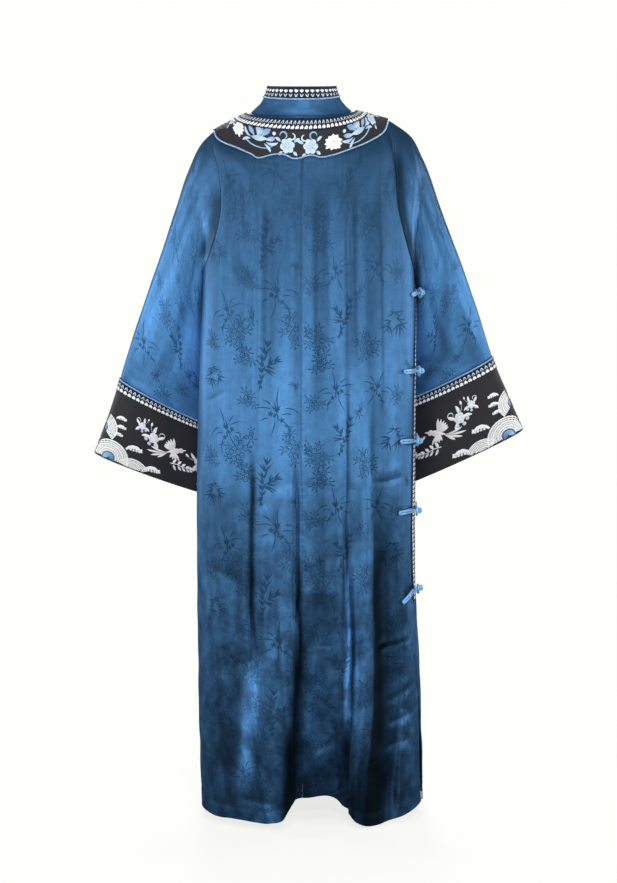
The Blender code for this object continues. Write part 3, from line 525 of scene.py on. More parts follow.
class Wrap:
    """The body laid flat from one centre line: it turns spans into angles and back, and holds the creases."""

    LEVEL_STEP, ANGLE_STEP, SPAN_STEP, SPAN_END = 5.0, 0.5, 2.5, 620.0

    def __init__(self, centre, creases, cross, shades):
        self.centre, self.creases, self.cross, self.shades = centre, creases, cross, shades
        levels = np.arange(0.0, 1381.0, self.LEVEL_STEP)
        self.angles = centre + np.arange(-180.0, 180.01, self.ANGLE_STEP)
        ring = body_point(self.angles[None, :], levels[:, None])
        steps = np.linalg.norm(np.diff(ring, axis=1), axis=-1)
        arc = np.concatenate([np.zeros((len(levels), 1)), np.cumsum(steps, axis=1)], axis=1)
        self.arc = arc - arc[:, [len(self.angles) // 2]]
        spans = np.arange(-self.SPAN_END, self.SPAN_END + 0.1, self.SPAN_STEP)
        self.turn = np.array([np.interp(spans, row, self.angles) for row in self.arc])

    def span(self, angle, level):
        angle, level = paired(angle, level)
        return bilinear(self.arc, level / self.LEVEL_STEP, (angle - self.angles[0]) / self.ANGLE_STEP)

    def angle(self, span, level):
        span, level = paired(span, level)
        return bilinear(self.turn, level / self.LEVEL_STEP, (span + self.SPAN_END) / self.SPAN_STEP)

    def hollow(self, span, level):
        """The small creases: the tabled ones, and a slight unevenness that grows towards the hem."""
        deeper = 1 + DEEPER * ease((level - DEEPER_START) / 160)
        depth = troughs(span, level, self.creases) * deeper + crosses(span, level, self.cross)
        sway = np.sin(span / 31 + 1.3 * np.sin(level / 118 + self.centre) + 0.7)
        ripple = np.sin(span / 13.5 + 1.7 * np.sin(level / 71) + level / 210)
        dimple = np.sin(span / 19 + 2.1 * np.sin(level / 43 + 1))
        dimple = dimple * np.sin(level / 27 + 1.2 * np.sin(span / 37))
        lower = ease((level - UNEVEN_START) / (UNEVEN_END - UNEVEN_START))
        uneven = (SWAY[0] + SWAY[1] * lower) * sway
        uneven = uneven + (RIPPLE[0] + RIPPLE[1] * lower) * ripple + DIMPLE * lower * dimple
        return ease((level - CREASE_START) / 60) * (depth + uneven)

    def shade(self, span, level):
        """Painted light and shade: how much brighter the cloth is painted there than plain cloth, as a share:
        less than 0 is darker.
        """
        sway = 1.5 * np.sin(level / 57 + span / 90) + 0.8 * np.sin(level / 23 + 1.0)
        return np.interp(level, *BODY_LIGHT) * light_of(span + sway, level, self.shades) - 1

    def place(self, span, level, lift=0.0):
        """Points of the cloth and the normals of its plain form."""
        angle = self.angle(span, level)
        normal = normal_of(body_point, angle, level, -1)
        out = lift - self.hollow(span, level)
        return body_point(angle, level) + normal * out[..., None], normal


BACK = Wrap(0.0, BACK_CREASES, BACK_CROSSES, BACK_SHADES)
FRONT = Wrap(180.0, FRONT_CREASES, FRONT_CROSSES, FRONT_SHADES)


def armhole_loop(side, turn, shape=body_point):
    """The armhole's edge on the body: turn is 0 at the shoulder tip, 90 behind and 180 at the armpit."""
    c, s = np.cos(np.radians(turn)), np.sin(np.radians(turn))
    level = TIP_LEVEL + (ARMPIT_LEVEL - TIP_LEVEL) * (1 - c) / 2
    back, front = armhole_angle(side, level, "back"), armhole_angle(side, level, "front")
    angle = np.where(s > 0, back, front) * np.sign(ARMHOLES[side]["angle"])
    return shape(angle, level)


def sleeve_point(side, turn, reach):
    """A point of a sleeve's outer face: turn is 0 on the outer line, 90 behind and 180 on the inner line."""
    turn, reach = paired(turn, reach)

    def ring(at):
        row = row_at(SLEEVES[side], at)
        outer = np.stack([row["out_x"], row["out_y"], row["out_z"]], axis=-1)
        inner = np.stack([row["in_x"], row["in_y"], row["in_z"]], axis=-1)
        across = unit(outer - inner)
        behind = np.array([0.0, -1.0, 0.0])
        behind = unit(behind - across * (across @ behind)[..., None])
        c, s = np.cos(np.radians(turn)), np.sin(np.radians(turn))
        deep = np.where(s > 0, row["back"], row["front"]) * np.sign(s) * np.abs(s) ** SLEEVE_POWER
        return (outer + inner) / 2 + (outer - inner) / 2 * c[..., None] + behind * deep[..., None]

    start = armhole_loop(side, turn)
    fade = (1 - np.clip(reach / SHOULDER_FADE, 0, 1)) ** 2
    return ring(reach) + (start - ring(np.zeros_like(reach))) * fade[..., None]


def collar_point(angle, height):
    """A point of the collar's outer face: angle as on the body."""
    angle, height = paired(angle, height)
    row = row_at(COLLAR, height)
    side, behind = np.sin(np.radians(angle)), np.cos(np.radians(angle))
    x = np.where(side > 0, row["x_right"], row["x_left"]) * side
    y = -np.where(behind > 0, row["back"], row["front"]) * behind
    z_side = np.where(side > 0, row["z_right"], row["z_left"])
    z_middle = np.where(behind > 0, row["z_back"], row["z_front"])
    z = z_side + (z_middle - z_side) * np.abs(behind) ** DRAPE_POWER + NECK_RISE
    return np.stack([x, y, z], axis=-1)


# Pieces

def add_piece(
    name, points, faces, material, slot, uv, seam=None, shade=None, tone=None, replaces=(), sharp=50
):
    """One named piece on the root body, with its flat coordinates and values kept on its points."""
    name = "dress_" + name
    mesh = bpy.data.meshes.new(name)
    mesh.from_pydata((points * MM).tolist(), [], faces)
    loops = np.empty(len(mesh.loops), int)
    mesh.loops.foreach_get("vertex_index", loops)
    layer = mesh.uv_layers.new(name="flat")
    layer.data.foreach_set("uv", (uv[loops] * MM).astype(np.float32).ravel())
    for kept, values in (("seam", seam), ("shade", shade)):
        if values is not None:
            values = np.ravel(np.asarray(values, np.float32))
            mesh.attributes.new(kept, "FLOAT", "POINT").data.foreach_set("value", values)
    if tone is not None:
        colours = np.concatenate([tone, np.ones((len(tone), 1))], axis=1).astype(np.float32)
        mesh.attributes.new("tone", "FLOAT_COLOR", "POINT").data.foreach_set("color", colours.ravel())
    mesh.shade_smooth()
    if sharp:
        mesh.set_sharp_from_angle(angle=math.radians(sharp))
    mesh.materials.append(material)
    piece = bpy.data.objects.new(name, mesh)
    bpy.context.scene.collection.objects.link(piece)
    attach(piece, "root")
    if replaces:
        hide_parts(*replaces)


def grid_faces(rows, columns, closed=False):
    """The numbers of a grid's points, and its four-cornered faces."""
    grid = np.arange(rows * columns).reshape(rows, columns)
    if closed:
        grid = np.concatenate([grid, grid[:, :1]], axis=1)
    corners = [grid[:-1, :-1], grid[1:, :-1], grid[1:, 1:], grid[:-1, 1:]]
    return grid, np.stack(corners, axis=-1).reshape(-1, 4)


def add_wall(name, outer, inner, material, slot, uv, closed=False, **kept):
    """Cloth in place of its solid: a wall between two grids, cut off at its edges or closed to a tube."""
    rows, columns = outer.shape[:2]
    count = rows * columns
    grid, faces = grid_faces(rows, columns, closed)
    parts = [faces, faces[:, ::-1] + count]
    edges = [(grid[0], 1), (grid[-1], -1)] + ([] if closed else [(grid[:, 0], -1), (grid[:, -1], 1)])
    for edge, way in edges:
        p, q = edge[:-1], edge[1:]
        parts.append(np.stack([p, q, q + count, p + count], axis=1)[:, ::way])
    faces = np.concatenate(parts)
    points = np.concatenate([outer.reshape(-1, 3), inner.reshape(-1, 3)])
    a, b, c, d = (points[faces[:, k]] for k in range(4))
    if np.einsum("ij,ij->i", a, np.cross(b, c)).sum() + np.einsum("ij,ij->i", a, np.cross(c, d)).sum() < 0:
        faces = faces[:, ::-1]
    uv = np.concatenate([uv.reshape(-1, 2)] * 2)
    for key in ("seam", "shade"):
        if key in kept:
            kept[key] = np.concatenate([np.ravel(kept[key])] * 2)
    add_piece(name, points, faces.tolist(), material, slot, uv, replaces=(name,), **kept)


def seam_inset(base, left=0.0, right=0.0, top=0.0, foot=0.0):
    """How far a sheet's edge points move to stand back from its seams."""
    move = np.zeros_like(base)
    for edge, beside, size in (
        (np.s_[:, 0], np.s_[:, 1], left),
        (np.s_[:, -1], np.s_[:, -2], right),
        (np.s_[0], np.s_[1], top),
        (np.s_[-1], np.s_[-2], foot),
    ):
        if size:
            move[edge] += unit(base[beside] - base[edge]) * size
    return move


def tube(centres, normals, radius, sides=10, closed=False):
    """Points and faces of a round cord along a line of points, with a direction across it at each."""
    if closed:
        along = unit(np.roll(centres, -1, axis=0) - np.roll(centres, 1, axis=0))
    else:
        along = unit(np.gradient(centres, axis=0))
    across = unit(np.cross(along, normals))
    up = np.cross(across, along)
    turn = np.radians(np.arange(sides) * 360 / sides)[None, :, None]
    radius = np.broadcast_to(np.asarray(radius, float), len(centres))[:, None, None]
    rings = centres[:, None] + radius * (np.cos(turn) * across[:, None] + np.sin(turn) * up[:, None])
    count = len(centres)
    i, j = np.meshgrid(np.arange(count if closed else count - 1), np.arange(sides), indexing="ij")
    here, there, beside = i * sides, (i + 1) % count * sides, (j + 1) % sides
    faces = np.stack([here + j, here + beside, there + beside, there + j], axis=-1).reshape(-1, 4).tolist()
    points = rings.reshape(-1, 3)
    round_it = np.arange(sides) * 2 * math.pi / sides * radius[:, 0]
    uv = np.stack(np.broadcast_arrays(round_it, lengths(centres)[:, None]), axis=-1).reshape(-1, 2)
    if not closed:
        first, last = count * sides, (count - 1) * sides
        points = np.concatenate([points, centres[:1], centres[-1:]])
        uv = np.concatenate([uv, uv[:1], uv[-1:]])
        for j in range(sides):
            faces.append([(j + 1) % sides, j, first])
            faces.append([last + j, last + (j + 1) % sides, first + 1])
    return points, faces, uv


def join(parts):
    """Several (points, faces, uv) or (points, faces, uv, tone) parts as one."""
    offset, faces = 0, []
    for part in parts:
        faces += [[corner + offset for corner in face] for face in part[1]]
        offset += len(part[0])
    points, *kept = (np.concatenate([part[k] for part in parts]) for k in (0, *range(2, len(parts[0]))))
    return (points, faces, *kept)


def add_joined(name, parts, material, slot, **kept):
    """Joined parts as one piece."""
    points, faces, uv, *tones = join(parts)
    add_piece(name, points, faces, material, slot, uv, tone=tones[0] if tones else None, **kept)


def add_ribbon(name, low, normals, uv, closed=False):
    """A woven ribbon over its own solid, from the points of its lower face."""
    add_wall(name, low + normals * TRIM_WALL, low, ribbon, "ribbon", uv, closed)


def add_piping(name, line, lean, closed=False):
    """A satin-covered cord over its own solid."""
    add_joined(name, [tube(line, lean, PIPING, closed=closed)], piping, "piping", replaces=(name,))


# Materials: every number that is the same all over a surface is set on the shader's own socket


def node(tree, kind, inputs=(), **settings):
    """A new node of the tree. Inputs are given by name or number, as values or as sockets to link."""
    new = tree.nodes.new("ShaderNode" + kind)
    for key, value in settings.items():
        setattr(new, key, value)
    for key, value in dict(inputs).items():
        if isinstance(value, bpy.types.NodeSocket):
            tree.links.new(value, new.inputs[key])
        else:
            new.inputs[key].default_value = value
    return new


class Look:
    """A new material: its nodes, its shader and the piece's flat coordinates, which are in metres."""

    def __init__(self, name, **constants):
        self.material = bpy.data.materials.new(name)
        self.material.use_nodes = True
        self.tree = self.material.node_tree
        self.shader = self.tree.nodes["Principled BSDF"]
        for key, value in constants.items():
            self.shader.inputs[key.replace("_", " ")].default_value = value
        self.flat = self.add("UVMap", uv_map="flat").outputs[0]

    def add(self, kind, inputs=(), **settings):
        return node(self.tree, kind, inputs, **settings)

    def maths(self, operation, *values):
        return self.add("Math", dict(enumerate(values)), operation=operation).outputs[0]

    def plus(self, first, second):
        return self.maths("ADD", first, second)

    def times(self, first, *others):
        for value in others:
            first = self.maths("MULTIPLY", first, value)
        return first

    def mix(self, share, first, second, blend="MIX"):
        """Input 0 is the share, 6 and 7 the colours, and output 2 the colour."""
        return self.add("Mix", {0: share, 6: first, 7: second}, data_type="RGBA", blend_type=blend).outputs[2]

    def remap(self, value, low, high, to_low=0.0, to_high=1.0):
        inputs = {"Value": value, "From Min": low, "From Max": high, "To Min": to_low, "To Max": to_high}
        return self.add("MapRange", inputs).outputs[0]

    def cloudy(self, scale, detail, stretch=(1, 1, 1), rough=0.5):
        """Noise over the flat cloth; stretch is the scale each way."""
        place = {"Vector": self.flat, "Scale": tuple(scale * s for s in stretch)}
        placed = self.add("Mapping", place).outputs[0]
        inputs = {"Vector": placed, "Scale": 1.0, "Detail": detail, "Roughness": rough}
        return self.add("TexNoise", inputs).outputs[0]

    def bands(self, scale, distortion, direction, **more):
        """Even bands over the flat cloth."""
        inputs = {"Vector": self.flat, "Scale": scale, "Distortion": distortion, **more}
        return self.add("TexWave", inputs, bands_direction=direction).outputs["Fac"]

    def kept(self, name, output="Fac"):
        """A value or colour kept on the piece's points."""
        return self.add("Attribute", attribute_name=name).outputs[output]

    def height(self):
        return self.add("SeparateXYZ", {0: self.add("NewGeometry").outputs["Position"]}).outputs[2]

    def finish(self, colour, relief, distance, strength):
        """Links the colour and the bump of the surface, and gives the finished material."""
        inputs = {"Height": relief, "Distance": distance, "Strength": strength}
        bump = self.add("Bump", inputs).outputs["Normal"]
        self.tree.links.new(colour, self.shader.inputs["Base Color"])
        self.tree.links.new(bump, self.shader.inputs["Normal"])
        return self.material


def rgb(r, g, b):
    """A colour given in screen values from 0 to 255, as the shaders take it."""
    share = (np.array((r, g, b)) / 255.0).tolist()
    return tuple(c / 12.92 if c <= 0.04045 else ((c + 0.055) / 1.055) ** 2.4 for c in share) + (1.0,)


def satin_colour(look, bright, deep):
    """The satin's blue: clouded, with painted shade towards the hem and painted sheen of rumples, then darker
    or paler as the kept painted light says.
    """
    height = look.height()
    patch = look.cloudy(9.0, 4.0, (1.0, 0.45, 1.0))
    uneven = look.plus(height, look.remap(patch, 0.3, 0.7, -0.07, 0.07))
    # Painted shade: towards the hem the colour turns to the deep blue, where less light falls
    lower = look.plus(*(look.remap(uneven, *heights) for heights in HEM_PAINTED_SHADE))
    streak = look.cloudy(160.0, 2.0, (1.0, 0.05, 1.0))
    fine = look.cloudy(1400.0, 1.0, (0.35, 1.0, 1.0))
    grain = look.cloudy(420.0, 2.0, (0.6, 1.0, 1.0), rough=0.7)
    mottle = look.cloudy(70.0, 4.0, (1.0, 0.8, 1.0), rough=0.7)
    mottle = look.times(look.remap(mottle, 0.32, 0.68, -1.0, 1.0), look.remap(height, *MOTTLE_DEPTH))
    # Painted sheen and shade of rumpled satin, stronger towards the hem
    painted_rumple_sheen = look.cloudy(34.0, 3.0, (1.0, 0.6, 1.0), rough=0.6)
    painted_rumple_sheen = look.times(look.remap(painted_rumple_sheen, 0.33, 0.67, -1.0, 1.0), look.remap(height, *PAINTED_SHEEN_DEPTH))
    # The kept shade is the painted light and shade of the folds, highlights and sides
    shade = look.times(
        look.remap(streak, 0.25, 0.75, 0.93, 1.07),
        look.remap(fine, 0.3, 0.7, 0.94, 1.06),
        look.remap(patch, 0.3, 0.7, 0.90, 1.10),
        look.plus(mottle, 1.0),
        look.remap(grain, 0.3, 0.7, 0.90, 1.10),
        look.plus(painted_rumple_sheen, 1.0),
        look.plus(look.kept("shade"), 1.0),
    )
    grey = look.add("CombineColor", {0: shade, 1: shade, 2: shade}).outputs[0]
    return look.mix(1.0, look.mix(lower, bright, deep), grey, "MULTIPLY")


BLUE_GLOSS = rgb(140, 200, 255)
# The deep blues are mixed in towards the hem as painted shade
SATIN_BLUES = rgb(67, 115, 162), rgb(17, 37, 61)  # bright and deep
FIGURE_BLUES = rgb(38, 73, 111), rgb(12, 26, 44)
# What changes with the height: each has two heights in metres, and its share at each of them
# Painted shade towards the hem, and the painted sheen of rumples, which grows the same way
HEM_PAINTED_SHADE = (-0.58, -0.88, 0.0, 0.55), (-0.88, -1.3, 0.0, 0.25)
MOTTLE_DEPTH, PAINTED_SHEEN_DEPTH = (-0.6, -1.0, 0.12, 0.34), (-0.55, -1.0, 0.06, 0.46)
FIGURE_FAINTNESS = (-0.42, -0.14, 0.06, 0.80), (-0.66, -0.95, 0.0, 0.42)  # shoulders, then hem
PUCKER_WIDTH = 16.0  # how far puckers reach from a seam


def make_satin():
    """Jacquard satin: long floats of thread, small rumples, and puckers beside the seams."""
    look = Look(
        "satin", Roughness=0.48, Metallic=0.5, Anisotropic=0.4, Sheen_Weight=0.02, Sheen_Roughness=0.5,
        Specular_IOR_Level=0.4, Specular_Tint=BLUE_GLOSS, Sheen_Tint=rgb(150, 190, 230),
    )
    floats = look.cloudy(2600.0, 1.0, (1.0, 0.12, 1.0))
    rumple = look.cloudy(42.0, 3.0, (1.0, 0.5, 1.0), rough=0.55)
    relief = look.plus(look.times(floats, 0.035), look.times(rumple, 0.9))
    near = look.remap(look.kept("seam"), 0.0, PUCKER_WIDTH, 1.0, 0.0)
    wave = look.cloudy(150.0, 1.0, (0.25, 1.0, 1.0))
    relief = look.plus(relief, look.times(wave, near, near, 0.6))
    return look.finish(satin_colour(look, *SATIN_BLUES), relief, 0.0011, 1.0)


def make_figure():
    """The jacquard figure, woven the other way round: deeper and less glossy than its ground."""
    look = Look("figure", Roughness=0.52, Metallic=0.4, Specular_IOR_Level=0.35, Specular_Tint=BLUE_GLOSS)
    height = look.height()
    above, below = (look.remap(height, *heights) for heights in FIGURE_FAINTNESS)
    figure_colour, ground = satin_colour(look, *FIGURE_BLUES), satin_colour(look, *SATIN_BLUES)
    colour = look.mix(look.plus(above, below), figure_colour, ground)
    return look.finish(colour, look.cloudy(1800.0, 1.0, (0.4, 1.0, 1.0)), 0.0001, 0.6)


def make_black():
    look = Look(
        "black_satin", Roughness=0.6, Sheen_Weight=0.04, Sheen_Roughness=0.45, Specular_IOR_Level=0.2,
        Sheen_Tint=rgb(150, 152, 160),
    )
    cloud, twill = look.cloudy(30.0, 3.0), look.bands(420.0, 1.2, "DIAGONAL", Detail=1.0)
    colour = look.mix(cloud, rgb(26, 25, 29), rgb(40, 39, 44))
    colour = look.mix(look.times(twill, 0.35), colour, rgb(56, 55, 62))
    return look.finish(colour, look.plus(look.times(cloud, 0.6), look.times(twill, 0.14)), 0.0006, 1.0)


def make_ribbon():
    """Woven ribbon with fine ribs across it."""
    look = Look(
        "ribbon", Roughness=0.65, Sheen_Weight=0.04, Specular_IOR_Level=0.2, Sheen_Tint=rgb(110, 130, 165)
    )
    rib, fleck = look.bands(330.0, 0.5, "X"), look.cloudy(500.0, 2.0)
    colour = look.mix(fleck, rgb(8, 14, 32), rgb(20, 30, 56))
    return look.finish(look.mix(look.times(rib, 0.4), colour, rgb(28, 42, 74)), rib, 0.00025, 0.8)


def make_cord_satin(name, light, dark):
    """Bias-cut satin drawn over a cord, with fine slanting creases, painted darker in them as shade."""
    look = Look(name, Roughness=0.36, Metallic=0.12, Sheen_Weight=0.2, Specular_IOR_Level=0.6)
    slant = look.bands(210.0, 2.4, "DIAGONAL", Detail=1.0)
    colour = look.mix(look.remap(look.cloudy(260.0, 2.0), 0.3, 0.7), dark, light)
    # Painted shade in the slanting creases
    return look.finish(look.mix(look.times(slant, 0.22), colour, dark), slant, 0.00018, 0.8)


def make_thread():
    """Embroidery floss: the colour is kept on the points, the threads lie across each shape, and painted shade
    lies between them.
    """
    look = Look("thread", Roughness=0.42, Sheen_Weight=0.3, Anisotropic=0.4, Specular_IOR_Level=0.5)
    tone, strand = look.kept("tone", "Color"), look.bands(520.0, 0.8, "Y", Detail=1.0)
    # Painted shade between the strands
    between = look.mix(1.0, tone, rgb(150, 160, 175), "MULTIPLY")
    return look.finish(look.mix(look.times(strand, 0.3), tone, between), strand, 0.0002, 0.7)


satin, figure, black, ribbon, thread = make_satin(), make_figure(), make_black(), make_ribbon(), make_thread()
piping = make_cord_satin("piping", rgb(158, 198, 240), rgb(92, 136, 184))
frog_cord = make_cord_satin("frog", rgb(140, 200, 242), rgb(78, 140, 192))


# Cloth

panel_edges = {}  # of each panel: its wrap, row levels and the spans of its two edges
NECK_ROWS = np.linspace(0, TIP_LEVEL, 18)[:-1]
ARMHOLE_ROWS = TIP_LEVEL + (ARMPIT_LEVEL - TIP_LEVEL) * (1 - np.cos(np.radians(np.linspace(0, 180, 64)))) / 2
SKIRT_ROWS = np.linspace(ARMPIT_LEVEL, HEM_LEVEL, 236)[1:]
BODY_ROWS = np.concatenate([NECK_ROWS, ARMHOLE_ROWS, SKIRT_ROWS])
EDGE_OFFSETS = np.array((0.0, 1.3, 2.8, 4.8))  # extra columns beside each seam
SEAM_DEPTH, SEAM_WIDTH = 1.3, 2.1  # how the cloth dips into a seam
CENTRE_INSET, EDGE_INSET = 0.03, GAP / 2 + 0.15  # how far a panel stays from the centre seam and its others
DROP_FADE = 220.0  # how far above the hem its waves begin
SLIT_LOOSENESS = 0.6  # how much of the seams' dip is gone beside the slits
HEM_TURN = 24.0  # the turned-up hem, stitched this far above its edge


def side_edge(side, facing, level):
    """The angle at which a panel ends at one side: shoulder seam, armhole, then side seam."""
    in_armhole = (level > TIP_LEVEL) & (level < ARMPIT_LEVEL)
    seam = np.where((level > SIDE_OPENING_LEVEL) & (side == "right"), opening_angle(level), 90.0)
    free = slit(level) / 2 * (-1 if facing == "back" else 1)
    angle = np.where(in_armhole, armhole_angle(side, level, facing), seam + free)
    return 360 - angle if side == "left" else angle


def make_panel(name, wrap, start, end, rows, columns):
    """A body panel between two edges, given as angles row by row."""
    first, last = wrap.span(start, rows), wrap.span(end, rows)
    share = np.linspace(0, 1, columns)[None, :]
    middle = first[:, None] + EDGE_OFFSETS[-1] + (last - first - 2 * EDGE_OFFSETS[-1])[:, None] * share
    left = first[:, None] + EDGE_OFFSETS[:-1]
    right = last[:, None] - EDGE_OFFSETS[:-1][::-1]
    span = np.hstack([left, middle, right])
    level = np.broadcast_to(rows[:, None], span.shape)
    drop = hem_drop(wrap.angle(span, level)) * ease((level - HEM_LEVEL + DROP_FADE) / DROP_FADE)
    level = level + drop
    edge = np.minimum(span - first[:, None], last[:, None] - span)
    panel_edges[name] = (wrap, rows, first, last)
    to_hem = HEM_LEVEL + drop - level
    points, normals = wrap.place(span, level)
    loose = 0.0 if name == "back_left" else SLIT_LOOSENESS
    dip = SEAM_DEPTH * (1 - loose * ease((level - SLIT_LEVEL) / 40)) * bell(edge, SEAM_WIDTH)
    dip = dip + 0.5 * bell(to_hem - HEM_TURN, 2.0) - 0.35 * ease((HEM_TURN - to_hem) / 5)
    points = points - normals * dip[..., None]
    insets = [CENTRE_INSET if name == centre else EDGE_INSET for centre in ("back_right", "back_left")]
    points = points + seam_inset(points, *insets, top=GAP / 2)
    grown = unit(np.cross(np.gradient(points, axis=1), np.gradient(points, axis=0)))
    grown *= np.sign((grown * normals).sum(-1, keepdims=True))
    uv = np.stack([span, level], axis=-1)
    # The kept shade is painted light and shade
    kept = {"seam": edge, "shade": wrap.shade(span, level)}
    add_wall(name, points, points - grown * WALL, satin, "satin", uv, **kept)


def make_body():
    level = BODY_ROWS
    left_back, left_front, right_back, right_front = (
        side_edge(side, facing, level) for side in ("left", "right") for facing in ("back", "front")
    )
    make_panel("back_left", BACK, left_back - 360, 0 * level, level, 84)
    make_panel("back_right", BACK, 0 * level, right_back, level, 90)
    edge = np.where(level < SIDE_OPENING_LEVEL, opening_angle(level), right_front)
    make_panel("front_main", FRONT, edge, left_front, level, 100)
    upper = level < SIDE_OPENING_LEVEL - 8
    make_panel("front_side", FRONT, right_front[upper], opening_angle(level[upper]), level[upper], 26)


class Sleeve:
    """One sleeve laid flat: arc is the distance round it from its outer line, reach the distance down it."""

    def __init__(self, side):
        self.side, self.sign = side, 1 if side == "left" else -1
        self.start, self.end = SLEEVE_END[side], CUFF_END[side]
        self.turns = np.arange(-180.0, 540.1, 1.0)
        arc = lengths(sleeve_point(side, self.turns, self.start - 60.0))
        self.arc = arc - arc[180]
        self.round = self.arc[540] - self.arc[180]
        probe = sleeve_point(side, np.arange(0, 360, 10.0), self.start)
        normal = normal_of(self.plain, np.arange(0, 360, 10.0), self.start + np.zeros(36), 1)
        self.outside = 1 if ((probe - probe.mean(axis=0)) * normal).sum() > 0 else -1
        self.seam = armhole_loop(side, np.arange(0.0, 181.0, 5.0))

    def plain(self, turn, reach):
        return sleeve_point(self.side, turn, reach)

    def turn(self, x):
        """The turn at a distance x round the sleeve, which runs behind the arm first on either side."""
        return np.interp(self.sign * x, self.arc, self.turns)

    def inside(self, x, margin=0.0):
        """Whether a distance round the sleeve is within one turn of it."""
        return (self.sign * x > margin) & (self.sign * x < self.round - margin)

    def hollow(self, turn, reach):
        """The sleeve's soft folds, which fade out at the armhole and stop at the cuff."""
        turn = np.mod(turn, 360)
        depth = troughs(turn, reach, SLEEVE_FOLDS[self.side])
        radians = np.radians(turn)
        sway = np.sin(3 * radians + reach / 70 + 0.9 * np.sin(reach / 41))
        sway = sway + 0.6 * np.sin(7 * radians - reach / 55)
        free = ease((reach - 12) / 60)
        flatter = 1 - CUFF_FLATNESS * ease((reach - self.start + 40) / 60)
        return free * (SLEEVE_FOLD_SHARE * depth + SLEEVE_SWAY * sway) * flatter

    def place(self, turn, reach, lift=0.0):
        turn, reach = paired(turn, reach)
        normal = normal_of(self.plain, turn, reach, self.outside)
        return self.plain(turn, reach) + normal * (lift - self.hollow(turn, reach))[..., None], normal

    def rings(self, reach, lift=0.0):
        """Points, normals and flat coordinates of whole rings of cloth."""
        u, v = np.meshgrid(SLEEVE_TURNS, reach)
        return (*self.place(u, v, lift), np.stack([np.interp(u, self.turns, self.arc), v], axis=-1))

    def shade(self, turn, reach):
        """Painted light and shade: how much brighter the sleeve is painted than plain cloth, as a share, with
        painted shade beside the body.
        """
        turn, reach = paired(turn, reach)
        place = self.plain(turn, reach)
        down = np.clip(-place[..., 2], 0, HEM_LEVEL)
        body = smooth(down, FORM["level"], FORM["x_" + self.side])
        seam = np.where(down < ARMPIT_LEVEL, np.interp(down, -self.seam[:, 2], np.abs(self.seam[:, 0])), body)
        beside = np.maximum(np.abs(place[..., 0]) - seam, 0)
        # Painted shade beside the body, where the sleeve turns away from the light
        width, top, foot = SLEEVE_DARK[self.side]
        dark = SLEEVE_DARKEST * bell(beside, width, 4) * ease((down - top) / 60) * ease((foot - down) / 40)
        width, top, foot, share = ARMHOLE_SHADE_LINE
        line = share * bell(beside, width) * ease((down - top) / 60) * ease((foot - down) / 90)
        dark = np.maximum(dark, line)
        # Painted shade on the outer side and painted light to each side of the inner line, evening out the
        # lamps' light
        outer = bell(np.minimum(np.mod(turn, 360), np.mod(-turn, 360)), OUTER_SIDE[0])
        middle, width, top, share = INNER_SIDE
        inner = bell(np.abs(np.mod(turn, 360) - 180) - middle, width) * ease((down - top) / 80)
        light = np.interp(down, *SLEEVE_LIGHT[self.side]) * (1 - OUTER_SIDE[1] * outer) * (1 + share * inner)
        return light * light_of(np.mod(turn, 360), reach, SLEEVE_SHADES[self.side]) * (1 - dark) - 1


SLEEVE_TURNS = np.arange(0, 360, 2.5)
SHOULDER_ROWS = 4  # how many rows of a sleeve turn into the body at the armhole
SLEEVE_DIPS = (1.0, 2.6), (0.8, 2.4)  # depth and width of the dips at the armhole and at the cuff
ARMS = {side: Sleeve(side) for side in ("left", "right")}
# Painted light: the collar's satin is painted this bright
COLLAR_LIGHT = 0.70  # how bright its satin is
COLLAR_ARC = 1.15  # the collar's flat length for each degree
NECK_COLUMNS = 320  # how many columns of points the yoke and its ribbon have
YOKE_ROUND, YOKE_RIBBON_ROUND = 720.0, 620.0  # their flat lengths round the neck


def make_sleeves():
    """Two sleeves with their black cuffs, each cuff with a piping and a ribbon at its top."""
    for side, arm in ARMS.items():
        reach = np.concatenate([np.linspace(0, 20, 9), np.linspace(24, arm.start - GAP, 100)])
        outer, normal, uv = arm.rings(reach)
        body_turn = armhole_loop(side, SLEEVE_TURNS, lambda a, b: normal_of(body_point, a, b, -1))
        for row in range(SHOULDER_ROWS):
            alike = (normal[row] * body_turn).sum(-1, keepdims=True)
            lean = ease((alike + 0.1) / 0.6) * (1 - row / SHOULDER_ROWS)
            normal[row] = unit(normal[row] * (1 - lean) + body_turn * lean)
        underarm = np.maximum(-np.cos(np.radians(SLEEVE_TURNS)), 0)[:, None] ** 4
        outer[0] += unit(outer[4] - outer[0]) * (GAP + 0.1 + 1.4 * underarm)
        outer[1] += unit(outer[5] - outer[1]) * 0.6 * underarm
        u, v = np.meshgrid(SLEEVE_TURNS, reach)
        dip = sum(deep * bell(aside, width) for aside, (deep, width) in zip((v, arm.start - v), SLEEVE_DIPS))
        outer = outer - normal * dip[..., None]
        # The kept shade is painted light and shade
        kept = {"seam": np.minimum(v, arm.start - v), "shade": arm.shade(u, v)}
        add_wall("sleeve_" + side, outer, outer - normal * WALL, satin, "satin", uv, closed=True, **kept)

        band = arm.start + CUFF_PIPING_ROOM
        reach = np.concatenate([[arm.start + GAP, band], np.linspace(band + 3, arm.end - 1.5, 34), [arm.end]])
        points, normal, uv = arm.rings(reach)
        add_wall("cuff_" + side, points, points - normal * WALL, black, "black_satin", uv, closed=True)
        low = arm.rings(np.linspace(band, band + CUFF_RIBBON, 6), GAP)
        add_ribbon("cuff_ribbon_" + side, *low, closed=True)
        line, lean = arm.place(SLEEVE_TURNS, arm.start + CUFF_PIPING_ROOM / 2, PIPING + GAP)
        add_piping("cuff_piping_" + side, line, lean, closed=True)


